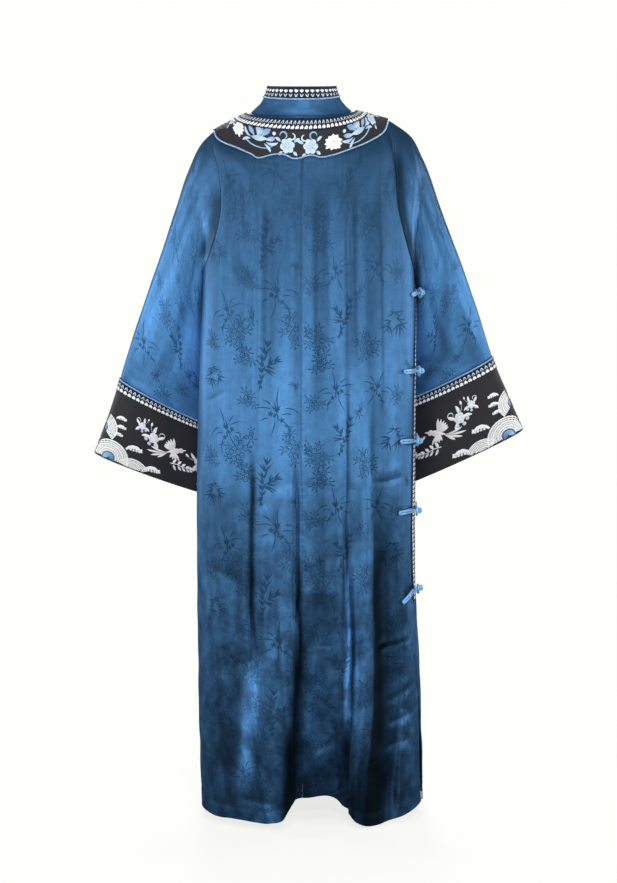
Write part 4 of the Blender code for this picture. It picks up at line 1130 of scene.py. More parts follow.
def make_collar():
    """The stand collar, open at the centre front, with its ribbon and piping."""
    angle = np.linspace(-COLLAR_END_ANGLE, COLLAR_END_ANGLE, 181)
    outward = lambda u, v: normal_of(collar_point, u, v, 1)
    u, v = np.meshgrid(angle, np.linspace(0, COLLAR_TOP, 25))
    points, normals = collar_point(u, v), outward(u, v)
    crumple = 0.35 * np.sin(u / 9 + 2 * np.sin(v / 6)) * ease(v / 6) * ease((COLLAR_RIBBON_FOOT - v) / 6)
    points = points - normals * crumple[..., None]
    uv = np.stack([u * COLLAR_ARC, v], axis=-1)
    # Painted shade, darker at the collar's foot
    painted_collar_shade = 0.75 + 0.25 * ease(v / 12) + 0.08 * np.sin(u / 14 + v / 5)
    kept = {"seam": v, "shade": COLLAR_LIGHT * painted_collar_shade - 1}
    add_wall("collar", points, points - normals * COLLAR_WALL, satin, "satin", uv, **kept)
    u, v = np.meshgrid(angle, np.linspace(COLLAR_RIBBON_FOOT, COLLAR_TOP, 14))
    normals, uv = outward(u, v), np.stack([u * COLLAR_ARC, v], axis=-1)
    add_ribbon("collar_ribbon", collar_point(u, v) + normals * GAP, normals, uv)
    foot = COLLAR_RIBBON_FOOT - PIPING - 0.4
    lean = outward(angle, foot)
    add_piping("collar_piping", collar_point(angle, foot) + lean * (PIPING + GAP), lean)


def neck_angle(share, level):
    """Round the neck from the opening's upper edge to its lower one, with share from 0 to 1."""
    return opening_angle(level) + 0.2 + (360 - 0.4) * share


def yoke_edge(share):
    """The level of the yoke's waved edge."""
    place = body_point(neck_angle(share, np.full_like(share, 60.0)), 60.0)
    angle = np.degrees(np.arctan2(place[..., 0], -place[..., 1]))
    return smooth(np.where(angle > -176, angle, angle + 360), *zip(*YOKE_ROWS))


def yoke_place(share, level, lift):
    """Points over the yoke's ground, which bridges the small hollows of the shoulder."""
    angle = neck_angle(share, level)
    normal = normal_of(body_point, angle, level, -1)
    return body_point(angle, level) + normal * lift, normal


def make_yoke():
    """The black yoke round the neck, its ribbon, and the piping on its waved edge."""
    share = np.linspace(0, 1, NECK_COLUMNS)
    edge = yoke_edge(share)
    level = YOKE_TOP + (edge[None, :] - YOKE_TOP) * np.linspace(0, 1, 18)[:, None]
    u = np.broadcast_to(share, level.shape)
    low, normals = yoke_place(u, level, YOKE_LIFT)
    uv = np.stack([u * YOKE_ROUND, level], axis=-1)
    add_wall("yoke", low + normals * YOKE_WALL, low, black, "black_satin", uv)
    level = np.linspace(YOKE_TOP + 1, YOKE_TOP + 1 + YOKE_RIBBON, 7)[:, None] + 0 * share
    u = np.broadcast_to(share, level.shape)
    low, normals = yoke_place(u, level, YOKE_LIFT + YOKE_WALL + GAP)
    add_ribbon("yoke_ribbon", low, normals, np.stack([u * YOKE_RIBBON_ROUND, level], axis=-1))
    add_piping("yoke_piping", *yoke_place(share, edge - PIPING, YOKE_LIFT + YOKE_WALL + GAP + PIPING))


def ribbon_turn(level):
    """The turn from the opening to a line one ribbon's width away from it."""
    angle = opening_angle(level)
    across = body_point(angle + 0.5, level) - body_point(angle - 0.5, level)
    below, above = (body_point(opening_angle(at), at) for at in (level + 2, level - 2))
    along = unit(below - above)
    square = across - along * (across * along).sum(-1, keepdims=True)
    return (LAPEL_RIBBON + 2.0) / np.linalg.norm(square, axis=-1)


def lapel_place(level, share, lift):
    """Points on the front beside the opening: share is 0 at its edge and 1 at the ribbon's other side."""
    angle = opening_angle(level) + slit(level) / 2 + ribbon_turn(level) * share
    return FRONT.place(FRONT.span(angle, level), level, lift)


def make_lapel_ribbon():
    v, u = np.meshgrid(np.linspace(*LAPEL_RIBBON_LEVELS, 200), np.linspace(0.03, 1.0, 6), indexing="ij")
    add_ribbon("lapel_ribbon", *lapel_place(v, u, GAP), np.stack([v, u * LAPEL_RIBBON], axis=-1))


# Needlework and figures: flat shapes with x to the right and y up, laid on a surface afterwards

WHITE, CREAM, PINK = rgb(250, 251, 250)[:3], rgb(238, 238, 228)[:3], rgb(238, 222, 226)[:3]
ICE, SKY, DEEP_BLUE = rgb(214, 230, 242)[:3], rgb(148, 192, 228)[:3], rgb(62, 118, 170)[:3]
LILAC, HAZE = rgb(206, 210, 232)[:3], rgb(112, 160, 204)[:3]


class Shapes:
    """Flat shapes kept as points, heights, flat coordinates, colours and four-cornered faces."""

    def __init__(self):
        self.parts, self.count = [], 0

    def add(self, xy, height, uv, tone, faces):
        self.parts.append((xy, height, uv, tone, faces + self.count))
        self.count += len(xy)

    def strip(self, line, widths, tone, crown=0.5, across=3, end_tone=None, base=0.0):
        """A shape along a line of points, with a half width at each, domed across."""
        line, widths = np.asarray(line, float), np.asarray(widths, float)
        along = unit(np.gradient(line, axis=0))
        side = np.stack([along[:, 1], -along[:, 0]], axis=1)
        v = np.linspace(-1, 1, across)
        xy = line[:, None] + side[:, None] * (widths[:, None, None] * v[None, :, None])
        share = widths / max(widths.max(), 1e-6)
        height = base + crown * (1 - v**2)[None, :] * share[:, None]
        uv = np.stack(np.broadcast_arrays(widths[:, None] * v, lengths(line)[:, None]), axis=-1)
        t = np.linspace(0, 1, len(line))[:, None, None]
        tones = np.array(tone) * (1 - t) + np.array(end_tone if end_tone is not None else tone) * t
        tones = np.broadcast_to(tones, xy.shape[:2] + (3,))
        _, faces = grid_faces(len(line), across)
        self.add(xy.reshape(-1, 2), height.ravel(), uv.reshape(-1, 2), tones.reshape(-1, 3), faces)

    def leaf(self, x, y, way, length, width, tone, bend=0.0, full=0.5, points=7, **more):
        """A leaf or petal from x, y in a direction in degrees; full is where along it it is widest."""
        t = np.linspace(0, 1, points)
        turn = np.radians(way + bend * (t - 0.25))
        line = np.stack([np.cos(turn), np.sin(turn)], axis=1) * (length / (points - 1))
        line = np.array([x, y]) + np.concatenate([[[0, 0]], np.cumsum(line[:-1], axis=0)])
        power = math.log(0.5) / math.log(full)
        widths = width / 2 * np.sin(math.pi * np.clip(t**power, 0.02, 0.98)) ** 0.75
        self.strip(line, widths, tone, **more)

    def leaves(self, rows, width, tone, **more):
        """Leaves of one width, each from its x, y, direction, length and bend."""
        for x, y, way, length, bend in rows:
            self.leaf(x, y, way, length, width, tone, bend=bend, **more)

    def whorl(self, x, y, count, length, width, start, tone, **more):
        """Petals all round a middle, the first of them in the direction start."""
        for k in range(count):
            self.leaf(x, y, start + 360 / count * k, length, width, tone, **more)

    def stem(self, points, width, tone, taper=0.4, **more):
        line = np.asarray(points, float)
        t = np.linspace(0, 1, len(line))
        at = np.linspace(0, 1, 4 * len(line))
        line = np.stack([smooth(at, t, line[:, k]) for k in (0, 1)], axis=1)
        self.strip(line, width / 2 * (1 - (1 - taper) * at), tone, **more)

    def disc(self, x, y, radius, tone, crown=0.5, points=7, base=0.0):
        t = np.cos(np.linspace(math.pi, 0, points)) * 0.985
        line = np.stack([t * radius, 0 * t], axis=1) + np.array([x, y])
        self.strip(line, radius * np.sqrt(1 - t**2), tone, crown=crown, base=base)

    def arc(self, x, y, radius, start, end, width, tone, points=14, taper=False, **more):
        turn = np.radians(np.linspace(start, end, points))
        line = np.array([x, y]) + radius * np.stack([np.cos(turn), np.sin(turn)], axis=1)
        widths = np.full(points, width / 2.0)
        if taper:
            widths = widths * (0.25 + 0.75 * np.sin(np.linspace(0.1, math.pi - 0.1, points)))
        self.strip(line, widths, tone, **more)

    def stamp(self, motif, x, y, turn=0.0, size=1.0, flip=False):
        """A finished motif again, turned by degrees, sized and perhaps mirrored."""
        xy, height, uv, tone, faces = motif
        xy = xy * np.array([-1.0 if flip else 1.0, 1.0]) * size
        c, s = math.cos(math.radians(turn)), math.sin(math.radians(turn))
        xy = np.stack([xy[:, 0] * c - xy[:, 1] * s, xy[:, 0] * s + xy[:, 1] * c], axis=1) + np.array([x, y])
        self.add(xy, height * min(size, 1.2), uv * size, tone, faces[:, ::-1] if flip else faces)

    def done(self):
        return tuple(np.concatenate([part[k] for part in self.parts]) for k in range(5))


def lay_shapes(shapes, place, keep=None, lift=0.12, value=None):
    """Lays flat shapes on a surface as one part.

    Place takes x, y and a lift, and keep says which points are allowed. Where value is given, it takes x
    and y, and its answers are kept instead of the colours.
    """
    xy, height, uv, tone, faces = shapes.done()
    if keep is not None:
        allowed = keep(xy[:, 0], xy[:, 1])
        faces = faces[allowed[faces].all(axis=1)]
        used = np.unique(faces)
        renumber = np.zeros(len(xy), int)
        renumber[used] = np.arange(len(used))
        xy, height, uv, tone, faces = xy[used], height[used], uv[used], tone[used], renumber[faces]
    if value is not None:
        tone = value(xy[:, 0], xy[:, 1])
    points, normals = place(xy[:, 0], xy[:, 1], height + lift)
    corners = points[faces]
    facing = np.cross(corners[:, 1] - corners[:, 0], corners[:, 3] - corners[:, 0])
    if (facing * normals[faces[:, 0]]).sum() < 0:
        faces = faces[:, ::-1]
    return points, faces.tolist(), uv, tone


def motif(draw, *settings):
    shapes = Shapes()
    draw(shapes, *settings)
    return shapes.done()


def draw_heart(s):
    """A filled heart, point down, in two domed halves."""
    for side in (-1, 1):
        s.leaf(0.0, -3.0, 90 - side * 21, 6.5, 4.1, WHITE, bend=side * 26, full=0.64, points=6, crown=0.55)


def draw_sprout(s):
    """The small forked shape beside each heart, with a dot in its fork."""
    for side in (-1, 1):
        line = ((0, -2.9), (side * 1.5, -0.6), (side * 2.7, 2.3))
        s.strip(line, (0.75, 0.62, 0.42), ICE, crown=0.3, end_tone=WHITE)
    s.disc(0, 1.3, 0.6, ICE, crown=0.3, points=4)


def draw_bird(s):
    """A small bird with raised wings and a long tail, flying to the right."""
    s.leaf(-6, -1.5, 14, 17, 6.6, WHITE, full=0.62, bend=8, crown=0.9, end_tone=PINK, across=5)
    s.disc(10.5, 2.6, 3.0, PINK, crown=0.9, base=0.15)
    s.leaf(12.6, 3.2, 8, 4.6, 1.6, CREAM, full=0.3, crown=0.4)
    s.disc(11.2, 3.2, 0.55, DEEP_BLUE, crown=0.3, base=1.0, points=4)
    wings = [(1.5 - k * 0.7, 1.2, 84 + k * 13, 15 - k * 1.3, 18) for k in range(6)]
    s.leaves(wings, 3.3, PINK, full=0.55, crown=0.55, base=0.25, end_tone=WHITE)
    lower_wings = [(3.0 - k, -1.2, -62 - k * 17, 10.5 - k, -16) for k in range(4)]
    s.leaves(lower_wings, 2.8, WHITE, crown=0.5, base=0.1, end_tone=PINK)
    tail = [(-4.5, -1.8, *row) for row in ((176, 20, -34), (188, 24, -24), (201, 21, -14), (214, 15, -4))]
    s.leaves(tail, 2.3, PINK, full=0.7, crown=0.45, end_tone=WHITE, points=9)


def draw_sprig(s):
    """A curved stem with paired leaves and a bud at its end."""
    s.stem(((-12, -7), (-5, -2), (3, 1), (12, 7)), 1.2, WHITE, crown=0.4)
    for k, (x, y) in enumerate(((-9, -5), (-4, -1.6), (1, 0.4), (6, 2.8), (9.5, 5))):
        s.leaf(x, y, 100 - 10 * k, 8.5 - 0.8 * k, 3.2, WHITE, bend=-34, crown=0.55, end_tone=WHITE)
        s.leaf(x + 1, y - 0.3, -38 + 9 * k, 8.0 - 0.8 * k, 3.0, LILAC, bend=34, crown=0.55, end_tone=WHITE)
    s.leaf(12, 7, 36, 6, 3.4, WHITE, full=0.5, crown=0.7)


def draw_crest(s):
    """Spray thrown forward by a wave: one thick swept body that ends in round fingers."""
    body = ((-13, -7), (-9, -1.5), (-3, 2.2), (4, 2.8), (9, 0.8))
    s.strip(body, (1.6, 2.6, 3.3, 3.2, 2.2), WHITE, crown=0.8, base=0.1)
    fingers = (
        (-7, -1.0, -64, 5.6, -26), (-3, 0.4, -58, 7.0, -26), (1.5, 1.2, -54, 7.4, -26),
        (5.5, 1.2, -46, 7.4, -26), (8.5, 1.0, -28, 6.6, -26), (8.5, 2.0, 2, 5.0, -26),
    )
    s.leaves(fingers, 4.0, WHITE, full=0.7, crown=0.8, base=0.2)
    lines = ((-3.4, -0.4, -56, 5.6, -26), (1.0, 0.2, -50, 5.6, -26), (5.2, 0.4, -40, 5.6, -26))
    s.leaves(lines, 0.5, LILAC, crown=0.1, base=1.2)


def draw_wave(s):
    """Concentric rings of a wave, over a blue middle. They reach a little below its own middle."""
    start, end = -32.0, 212.0
    for ring, reach in enumerate(np.arange(23.0, 7.0, -2.75)):
        s.arc(0, 0, reach, start, end, 1.9, CREAM if ring % 2 else WHITE, points=20, crown=0.55)
        s.arc(0, 0, reach - 1.35, start, end, 0.5, LILAC, points=20, crown=0.05)
    s.arc(0, 0, 3.65, start, end, 5.85, DEEP_BLUE, points=12, crown=0.3, end_tone=SKY)


def draw_spray(s, leaf, petal):
    """A full blossom between leaves, with two buds on curling stems."""
    leaves = ((-4, 3, 132, 15, -40), (3, 5, 66, 15, 46), (-5, -4, 214, 14, 40), (5, -3, -28, 15, -40))
    s.leaves(leaves, 5.2, leaf, full=0.5, crown=0.6, end_tone=WHITE, across=5, points=9)
    s.arc(-8, 13, 4.6, -60, 200, 1.3, WHITE, points=10, crown=0.4, taper=True)
    s.stem(((4, 4), (12, 9), (16, 15)), 1.3, petal, crown=0.4)
    s.leaf(15, 13, 70, 7, 3.8, WHITE, crown=0.7)
    s.whorl(0, -1, 6, 9.4, 7.6, 30, petal, full=0.66, crown=0.8, end_tone=WHITE, across=5, base=0.2)
    s.whorl(0, -1, 5, 5.2, 3.4, 0, WHITE, full=0.62, crown=0.6, base=0.75, end_tone=leaf)
    for x, y in ((-9.5, -9), (8.5, -10.5), (0, -13.5)):
        s.disc(x, y, 3.0, petal, crown=0.7, base=0.1)


def draw_plume(s):
    """A large open flower seen from the side, with swept petals, long leaves and a bud."""
    for x, y, way, length, width, bend, tone in (
        (-3, 0, 104, 17, 8.5, 34, ICE), (3, 1, 62, 19, 8.5, -34, SKY), (-8, -2, 146, 16, 7.0, 30, SKY),
        (9, 0, 24, 17, 6.6, 26, ICE), (0, 1, 84, 13, 5.6, 0, ICE),
    ):
        petal = {"full": 0.62, "bend": bend, "crown": 0.8, "base": 0.2, "end_tone": HAZE, "across": 5}
        s.leaf(x, y, way, length, width, tone, **petal)
    s.leaf(-12, -5, 14, 25, 8.0, SKY, full=0.5, bend=12, crown=0.9, base=0.5, end_tone=ICE, across=5)
    leaves = ((-13, -5, 164, 19, -62), (-12, -8, 204, 15, 50), (12, -3, 6, 19, 66), (10, -6, -24, 15, -40))
    s.leaves(leaves, 4.2, SKY, full=0.55, crown=0.5, end_tone=ICE, points=9)
    s.stem(((-20, -12), (-9, -14.5), (3, -14), (14, -11), (23, -5)), 2.2, SKY, crown=0.4)
    s.disc(20, 13, 2.6, ICE, crown=0.7)
    s.disc(-22, 8, 2.2, SKY, crown=0.7)


def draw_curl(s):
    """A round blossom of broad petals, with curled stems above and small leaves about it."""
    for count, reach, width, start, base, tone in (
        (6, 11.0, 8.6, 12, 0.0, SKY), (5, 6.6, 5.2, 40, 0.5, HAZE), (4, 3.6, 3.0, 0, 0.9, ICE),
    ):
        petal = {"full": 0.7, "bend": 16, "crown": 0.8, "base": base, "end_tone": ICE, "across": 5}
        s.whorl(0, -3, count, reach, width, start, tone, **petal)
    s.arc(-6, 11, 5.0, -70, 190, 2.2, SKY, points=12, crown=0.5, taper=True)
    s.arc(7, 10, 4.2, -150, 90, 2.2, ICE, points=10, crown=0.5, taper=True)
    leaves = ((10, 2, 38, 10, -40), (-10, 2, 140, 10, 40), (-7, -11, 222, 8, 30), (8, -11, -36, 8, -30))
    s.leaves(leaves, 4.4, SKY, crown=0.6, end_tone=ICE)


def draw_pompon(s):
    """A pinkish many-petalled flower seen from the side, with pointed leaves."""
    leaves = [(0, -1, way, 14, 14) for way in (150, 176, 204, 4, -22, -46)]
    s.leaves(leaves, 5.6, LILAC, full=0.6, crown=0.5, end_tone=WHITE)
    for count, reach, width, start, base, tone in (
        (9, 11.5, 6.6, 8, 0.25, PINK), (8, 8.8, 4.2, 24, 0.6, LILAC), (6, 6.0, 3.4, 0, 0.95, PINK),
        (4, 3.4, 2.2, 30, 1.25, LILAC),
    ):
        petal = {"full": 0.66, "crown": 0.6, "base": base, "end_tone": WHITE, "points": 6}
        s.whorl(0, 0, count, reach, width, start, tone, **petal)


HEART, SPROUT = motif(draw_heart), motif(draw_sprout)
SPRAY, PALE_SPRAY = motif(draw_spray, SKY, ICE), motif(draw_spray, WHITE, LILAC)
POMPON, PLUME, CURL, BIRD = (motif(draw) for draw in (draw_pompon, draw_plume, draw_curl, draw_bird))
SPRIG, CREST, WAVE = motif(draw_sprig), motif(draw_crest), motif(draw_wave)


# Jacquard figures, charted as one repeat of the cloth

FIGURE_TONE = (1.0, 1.0, 1.0)
REPEAT = 216.0  # length of one repeat


def thin(s, x, y, way, length, width, bend=0.0, full=0.5, points=6):
    """A narrow flat leaf of a figure."""
    s.leaf(x, y, way, length, width, FIGURE_TONE, bend=bend, full=full, points=points, crown=0.0, across=2)


def draw_bamboo(s):
    """A slim stem with narrow leaves in bunches, and one leafy twig to the right."""
    s.stem(((-3, -42), (-2, -18), (0, 6), (3, 34)), 1.2, FIGURE_TONE, crown=0.0, across=2)
    s.stem(((-1, -6), (8, 1), (20, 8)), 0.8, FIGURE_TONE, crown=0.0, across=2)
    for x, y, ways, reach in (
        (3, 33, (62, 88, 112), 17), (1, 20, (58, 104, 128), 19), (0, 8, (74, 118, 140), 17),
        (-1, -3, (108, 134), 17), (-2, -14, (70, 104, 128), 15), (-2, -25, (62, 116, 236), 13),
        (-3, -35, (74, 122, 262, 292), 11),
        (9, 2, (18, 52, 78), 16), (19, 8, (12, 34, 60), 17), (0, -6, (-14, -30), 25), (6, -2, (-6, 40), 15),
    ):
        for k, way in enumerate(ways):
            thin(s, x, y, way, reach - 2 * (k % 2), 3.5, bend=16 if way > 90 else -16, full=0.4)


def draw_fan(s):
    """A hanging stem with leaves spread downward like open hands."""
    s.stem(((-10, 34), (-3, 18), (2, 4)), 1.1, FIGURE_TONE, crown=0.0, across=2)
    s.stem(((-5, 22), (-16, 12), (-20, 4)), 0.9, FIGURE_TONE, crown=0.0, across=2)
    for x, y, ways, reach in (
        (-6, 27, (-8, -42, 172, 204), 17), (-2, 15, (-18, -44, 28), 21),
        (2, 4, (-4, -32, -62, -88, -116, -146), 25), (-16, 12, (168, 200, 228), 17),
        (-20, 4, (186, 222, 250, 282), 19),
    ):
        for k, way in enumerate(ways):
            thin(s, x, y, way, reach + 3 - 3.4 * (k % 3), 3.1, bend=16 * (-1) ** k, full=0.36)


def draw_orchid(s):
    """A tuft of short blades, with long ones that bend away from it and two flowers below."""
    for way, length, bend in (
        (84, 20, 20), (102, 24, -16), (66, 17, -30), (124, 18, 30), (250, 15, 40), (282, 18, -30),
        (228, 12, 30),
    ):
        thin(s, 0, 0, way, length, 2.9, bend=bend, full=0.45)
    for x, y, way, length, bend in (
        (-9, 7, 172, 36, 44), (15, 8, -8, 36, -84), (2, 14, 92, 36, -34), (7, -13, -46, 40, -74),
        (-16, -10, 196, 18, 60), (10, -4, 12, 22, -50), (-3, -14, 258, 34, -26), (-12, 15, 138, 20, 50),
        (12, -22, -20, 22, 64),
    ):
        thin(s, x, y, way, length, 2.5, bend=bend, full=0.4, points=9)
    for x, y, turn in ((10, -14, 30), (-12, -2, 80), (1, 7, 0)):
        for k in range(5):
            thin(s, x, y, turn + 72 * k, 6.4, 3.0, bend=24, points=5)


def draw_cluster(s, seed, wide, high, count):
    """A lacy bunch of open flowers, each a ring of outlined petals, with leaflets round its rim."""
    rng = np.random.default_rng(seed)
    for k in range(count):
        turn, reach = 2.4 * k, math.sqrt((k + 0.35) / count)
        x = wide / 2 * reach * math.cos(turn) + rng.uniform(-1.5, 1.5)
        y = high / 2 * reach * math.sin(turn) + rng.uniform(-1.5, 1.5)
        lean, size = rng.uniform(0, 72), rng.uniform(0.85, 1.15)
        for p in range(5):
            way = math.radians(lean + 72 * p)
            cx, cy = x + 3.5 * size * math.cos(way), y + 3.5 * size * math.sin(way)
            start, end = math.degrees(way) + 230, math.degrees(way) + 490
            s.arc(cx, cy, 2.1 * size, start, end, 1.15, FIGURE_TONE, points=8, crown=0.0, across=2)
        s.disc(x, y, 1.0, FIGURE_TONE, crown=0.0, points=4)
        if reach > 0.66:
            way = math.degrees(math.atan2(y * wide, x * high)) + rng.uniform(-30, 30)
            for side in (-40, 0, 36):
                out = math.radians(way + side)
                cx, cy = x + 5.5 * math.cos(out), y + 5.5 * math.sin(out)
                thin(s, cx, cy, way + side * 1.4, rng.uniform(6, 11), 2.4, bend=24, points=5)


BAMBOO, FAN, ORCHID = motif(draw_bamboo), motif(draw_fan), motif(draw_orchid)
BUNCH = motif(draw_cluster, 3, 40, 46, 13)
POSY = motif(draw_cluster, 8, 28, 28, 7)
TWIG = motif(draw_cluster, 5, 26, 12, 4)

# Figure, span, level, turn, size and whether it is mirrored, in the first repeat of each chart
BACK_CHART = (
    (BUNCH, -121, 382, 0, 1.0, False), (POSY, -106, 424, 10, 1.05, False), (TWIG, -96, 352, 38, 0.9, False),
    (BAMBOO, -70, 438, -4, 1.0, False), (BUNCH, -14, 376, 20, 0.95, True), (TWIG, -22, 344, 70, 0.7, True),
    (POSY, -100, 502, 0, 0.95, False), (ORCHID, -46, 524, 0, 0.95, False),
    (TWIG, -12, 474, 120, 0.6, False), (ORCHID, -142, 560, 18, 0.85, True), (FAN, -176, 470, 10, 0.8, True),
    (POSY, -178, 400, 0, 0.9, False), (BUNCH, 27, 388, 60, 0.95, False), (POSY, 36, 434, 0, 1.1, True),
    (BAMBOO, 78, 352, -22, 0.85, True), (ORCHID, 62, 484, 8, 0.8, True), (POSY, 22, 508, 40, 0.9, False),
    (BUNCH, 121, 404, 0, 0.9, True), (ORCHID, 142, 484, -16, 0.75, False), (FAN, 186, 370, 4, 1.0, False),
    (TWIG, 106, 524, 20, 0.8, False), (POSY, 186, 500, 30, 0.8, True), (TWIG, 214, 448, 80, 0.7, False),
)
FRONT_CHART = (
    (BUNCH, -130, 392, 0, 1.0, True), (POSY, -112, 432, 10, 1.0, False),
    (BAMBOO, -166, 486, 0, 0.95, False), (ORCHID, -96, 536, 4, 0.9, True),
    (BUNCH, -28, 470, 30, 0.95, False), (POSY, -10, 512, 0, 1.0, True), (BAMBOO, -58, 384, 14, 0.95, True),
    (ORCHID, 22, 394, -6, 0.95, False), (TWIG, -60, 476, 60, 0.8, False), (BUNCH, 92, 404, 0, 1.0, False),
    (POSY, 104, 446, 0, 1.0, True), (FAN, 58, 500, 6, 0.95, True), (ORCHID, 128, 552, 0, 0.85, False),
    (BAMBOO, 166, 430, -10, 0.95, False), (BUNCH, 186, 540, 0, 0.85, True),
    (TWIG, 22, 458, 100, 0.7, False), (POSY, -196, 404, 0, 0.9, False), (TWIG, 140, 372, 30, 0.8, True),
    (POSY, 214, 418, 0, 0.8, False), (FAN, -200, 556, 0, 0.8, False),
)
SLEEVE_CHART = (
    (BUNCH, 60, 300, 80, 0.9, False), (BAMBOO, 112, 330, 14, 0.95, True),
    (ORCHID, 30, 392, 30, 0.85, False), (POSY, 96, 250, 0, 1.0, False), (FAN, 168, 372, -8, 0.9, False),
    (POSY, 136, 420, 0, 0.9, True), (BUNCH, 206, 284, 0, 0.95, True), (ORCHID, 242, 360, 0, 0.85, True),
    (BAMBOO, 288, 300, 0, 0.9, False), (POSY, 330, 390, 0, 1.0, False), (BUNCH, 372, 300, 30, 0.95, False),
    (ORCHID, 418, 380, 12, 0.85, False), (FAN, 462, 288, 0, 0.9, True), (BUNCH, 500, 384, 0, 0.9, True),
    (BAMBOO, 546, 310, -8, 0.9, False), (TWIG, 70, 430, 30, 0.8, False), (TWIG, 270, 430, 60, 0.8, True),
    (TWIG, 20, 270, 90, 0.8, False),
)


def add_figures(name, chart, place, keep, value, sign=1):
    shapes = Shapes()
    for again in range(-2, 5):
        for shape, across, down, turn, size, flip in chart:
            shapes.stamp(shape, sign * across, -(down + REPEAT * again), sign * turn, size, flip)
    # The figures carry the painted light and shade of the cloth under them
    points, faces, uv, shade = lay_shapes(shapes, place, keep, lift=0.16, value=value)
    add_piece("figures_" + name, points, faces, figure, "satin", uv, shade=shade, sharp=0)


def make_figures():
    """The figures of each panel and sleeve, cut off at its seams as the cloth is."""
    for name in ("back_left", "back_right", "front_main", "front_side"):
        wrap, rows, first, last = panel_edges[name]
        beside = LAPEL_RIBBON + 4.0 if name == "front_main" else 3.0

        def keep(x, y):
            level = -y
            inside = (x > np.interp(level, rows, first) + beside) & (x < np.interp(level, rows, last) - 3.0)
            hem = HEM_LEVEL + hem_drop(wrap.angle(x, np.clip(level, 0, HEM_LEVEL))) - 5.0
            return inside & (level > 78) & (level < np.minimum(hem, rows[-1] + 40))

        chart = BACK_CHART if wrap is BACK else FRONT_CHART
        value = lambda x, y: wrap.shade(x, -y)
        add_figures(name, chart, lambda x, y, lift: wrap.place(x, -y, lift), keep, value)
    for side, arm in ARMS.items():
        keep = lambda x, y: (-y > 14) & (-y < arm.start - 4) & arm.inside(x)
        place = lambda x, y, lift: arm.place(arm.turn(x), -y, lift)
        value = lambda x, y: arm.shade(arm.turn(x), -y)
        add_figures("sleeve_" + side, SLEEVE_CHART, place, keep, value, arm.sign)


# Hearts along the ribbons, and the embroidery of the yoke and cuffs

# Hearts and sprouts: pitch, the place of each row across the ribbon, turn, and how wide and tall they are
HEARTS = {
    "collar": (9.6, 50.2, 41.6, 0, 1.0, 1.1),
    "yoke": (8.1, -20.4, -12.8, 180, 0.88, 1.12),
    "lapel": (8.4, -5.2, -12.6, 0, 1.0, 1.0),
    "cuff": (8.9, 5.0, 12.6, 180, 1.06, 1.12),
}


def stretched(shape, wide, tall):
    """A motif drawn wider and taller."""
    xy, *rest = shape
    return (xy * np.array([wide, tall]), *rest)


def heart_rows(length, pitch, hearts_at, sprouts_at, turn, wide, tall):
    """A row of hearts and a row of sprouts, at distances y, evenly spaced along x."""
    heart, sprout = stretched(HEART, wide, tall), stretched(SPROUT, wide, tall)
    count = int(round(length / pitch))
    shapes = Shapes()
    for k in range(count):
        x = length * (k + 0.5) / count
        lean = 3 * math.sin(2.3 * k)
        shapes.stamp(heart, x, hearts_at + 0.15 * math.sin(1.7 * k), turn + lean)
        shapes.stamp(sprout, x, sprouts_at, turn - lean)
    return shapes


def add_needlework(name, shapes, place, keep=None, slot="ribbon"):
    add_joined(name, [lay_shapes(shapes, place, keep, lift=0.05)], thread, slot, sharp=0)


def make_hearts():
    top = GAP + TRIM_WALL
    angle = np.linspace(-COLLAR_END_ANGLE + 1.5, COLLAR_END_ANGLE - 1.5, 400)
    run = lengths(collar_point(angle, 48.0))

    def on_collar(x, y, lift):
        turn = np.interp(x, run, angle)
        normal = normal_of(collar_point, turn, y, 1)
        return collar_point(turn, y) + normal * (lift + top)[..., None], normal

    add_needlework("hearts_collar", heart_rows(run[-1], *HEARTS["collar"]), on_collar)

    share = np.linspace(0.006, 0.994, 700)
    yoke_top = YOKE_LIFT + YOKE_WALL + top
    run_yoke = lengths(yoke_place(share, np.full_like(share, 21.0), yoke_top)[0])

    def on_yoke(x, y, lift):
        return yoke_place(np.interp(x, run_yoke, share), -y, (lift + yoke_top)[..., None])

    add_needlework("hearts_yoke", heart_rows(run_yoke[-1], *HEARTS["yoke"]), on_yoke)

    level = np.linspace(LAPEL_RIBBON_LEVELS[0] + 3, LAPEL_RIBBON_LEVELS[1] - 3, 900)
    run_lapel = lengths(lapel_place(level, np.full_like(level, 0.2), top)[0])

    def on_lapel(x, y, lift):
        return lapel_place(np.interp(x, run_lapel, level), -y / (LAPEL_RIBBON + 2), lift + top)

    add_needlework("hearts_lapel", heart_rows(run_lapel[-1], *HEARTS["lapel"]), on_lapel)

    for side, arm in ARMS.items():
        foot = arm.start + CUFF_PIPING_ROOM + CUFF_RIBBON
        pitch, hearts_up, sprouts_up, *more = HEARTS["cuff"]
        rows = heart_rows(arm.round, pitch, hearts_up - foot, sprouts_up - foot, *more)
        shapes = Shapes()
        shapes.stamp(rows.done(), 0 if side == "left" else -arm.round, 0)
        place = lambda x, y, lift: arm.place(arm.turn(x), -y, lift + top)
        add_needlework("hearts_cuff_" + side, shapes, place)


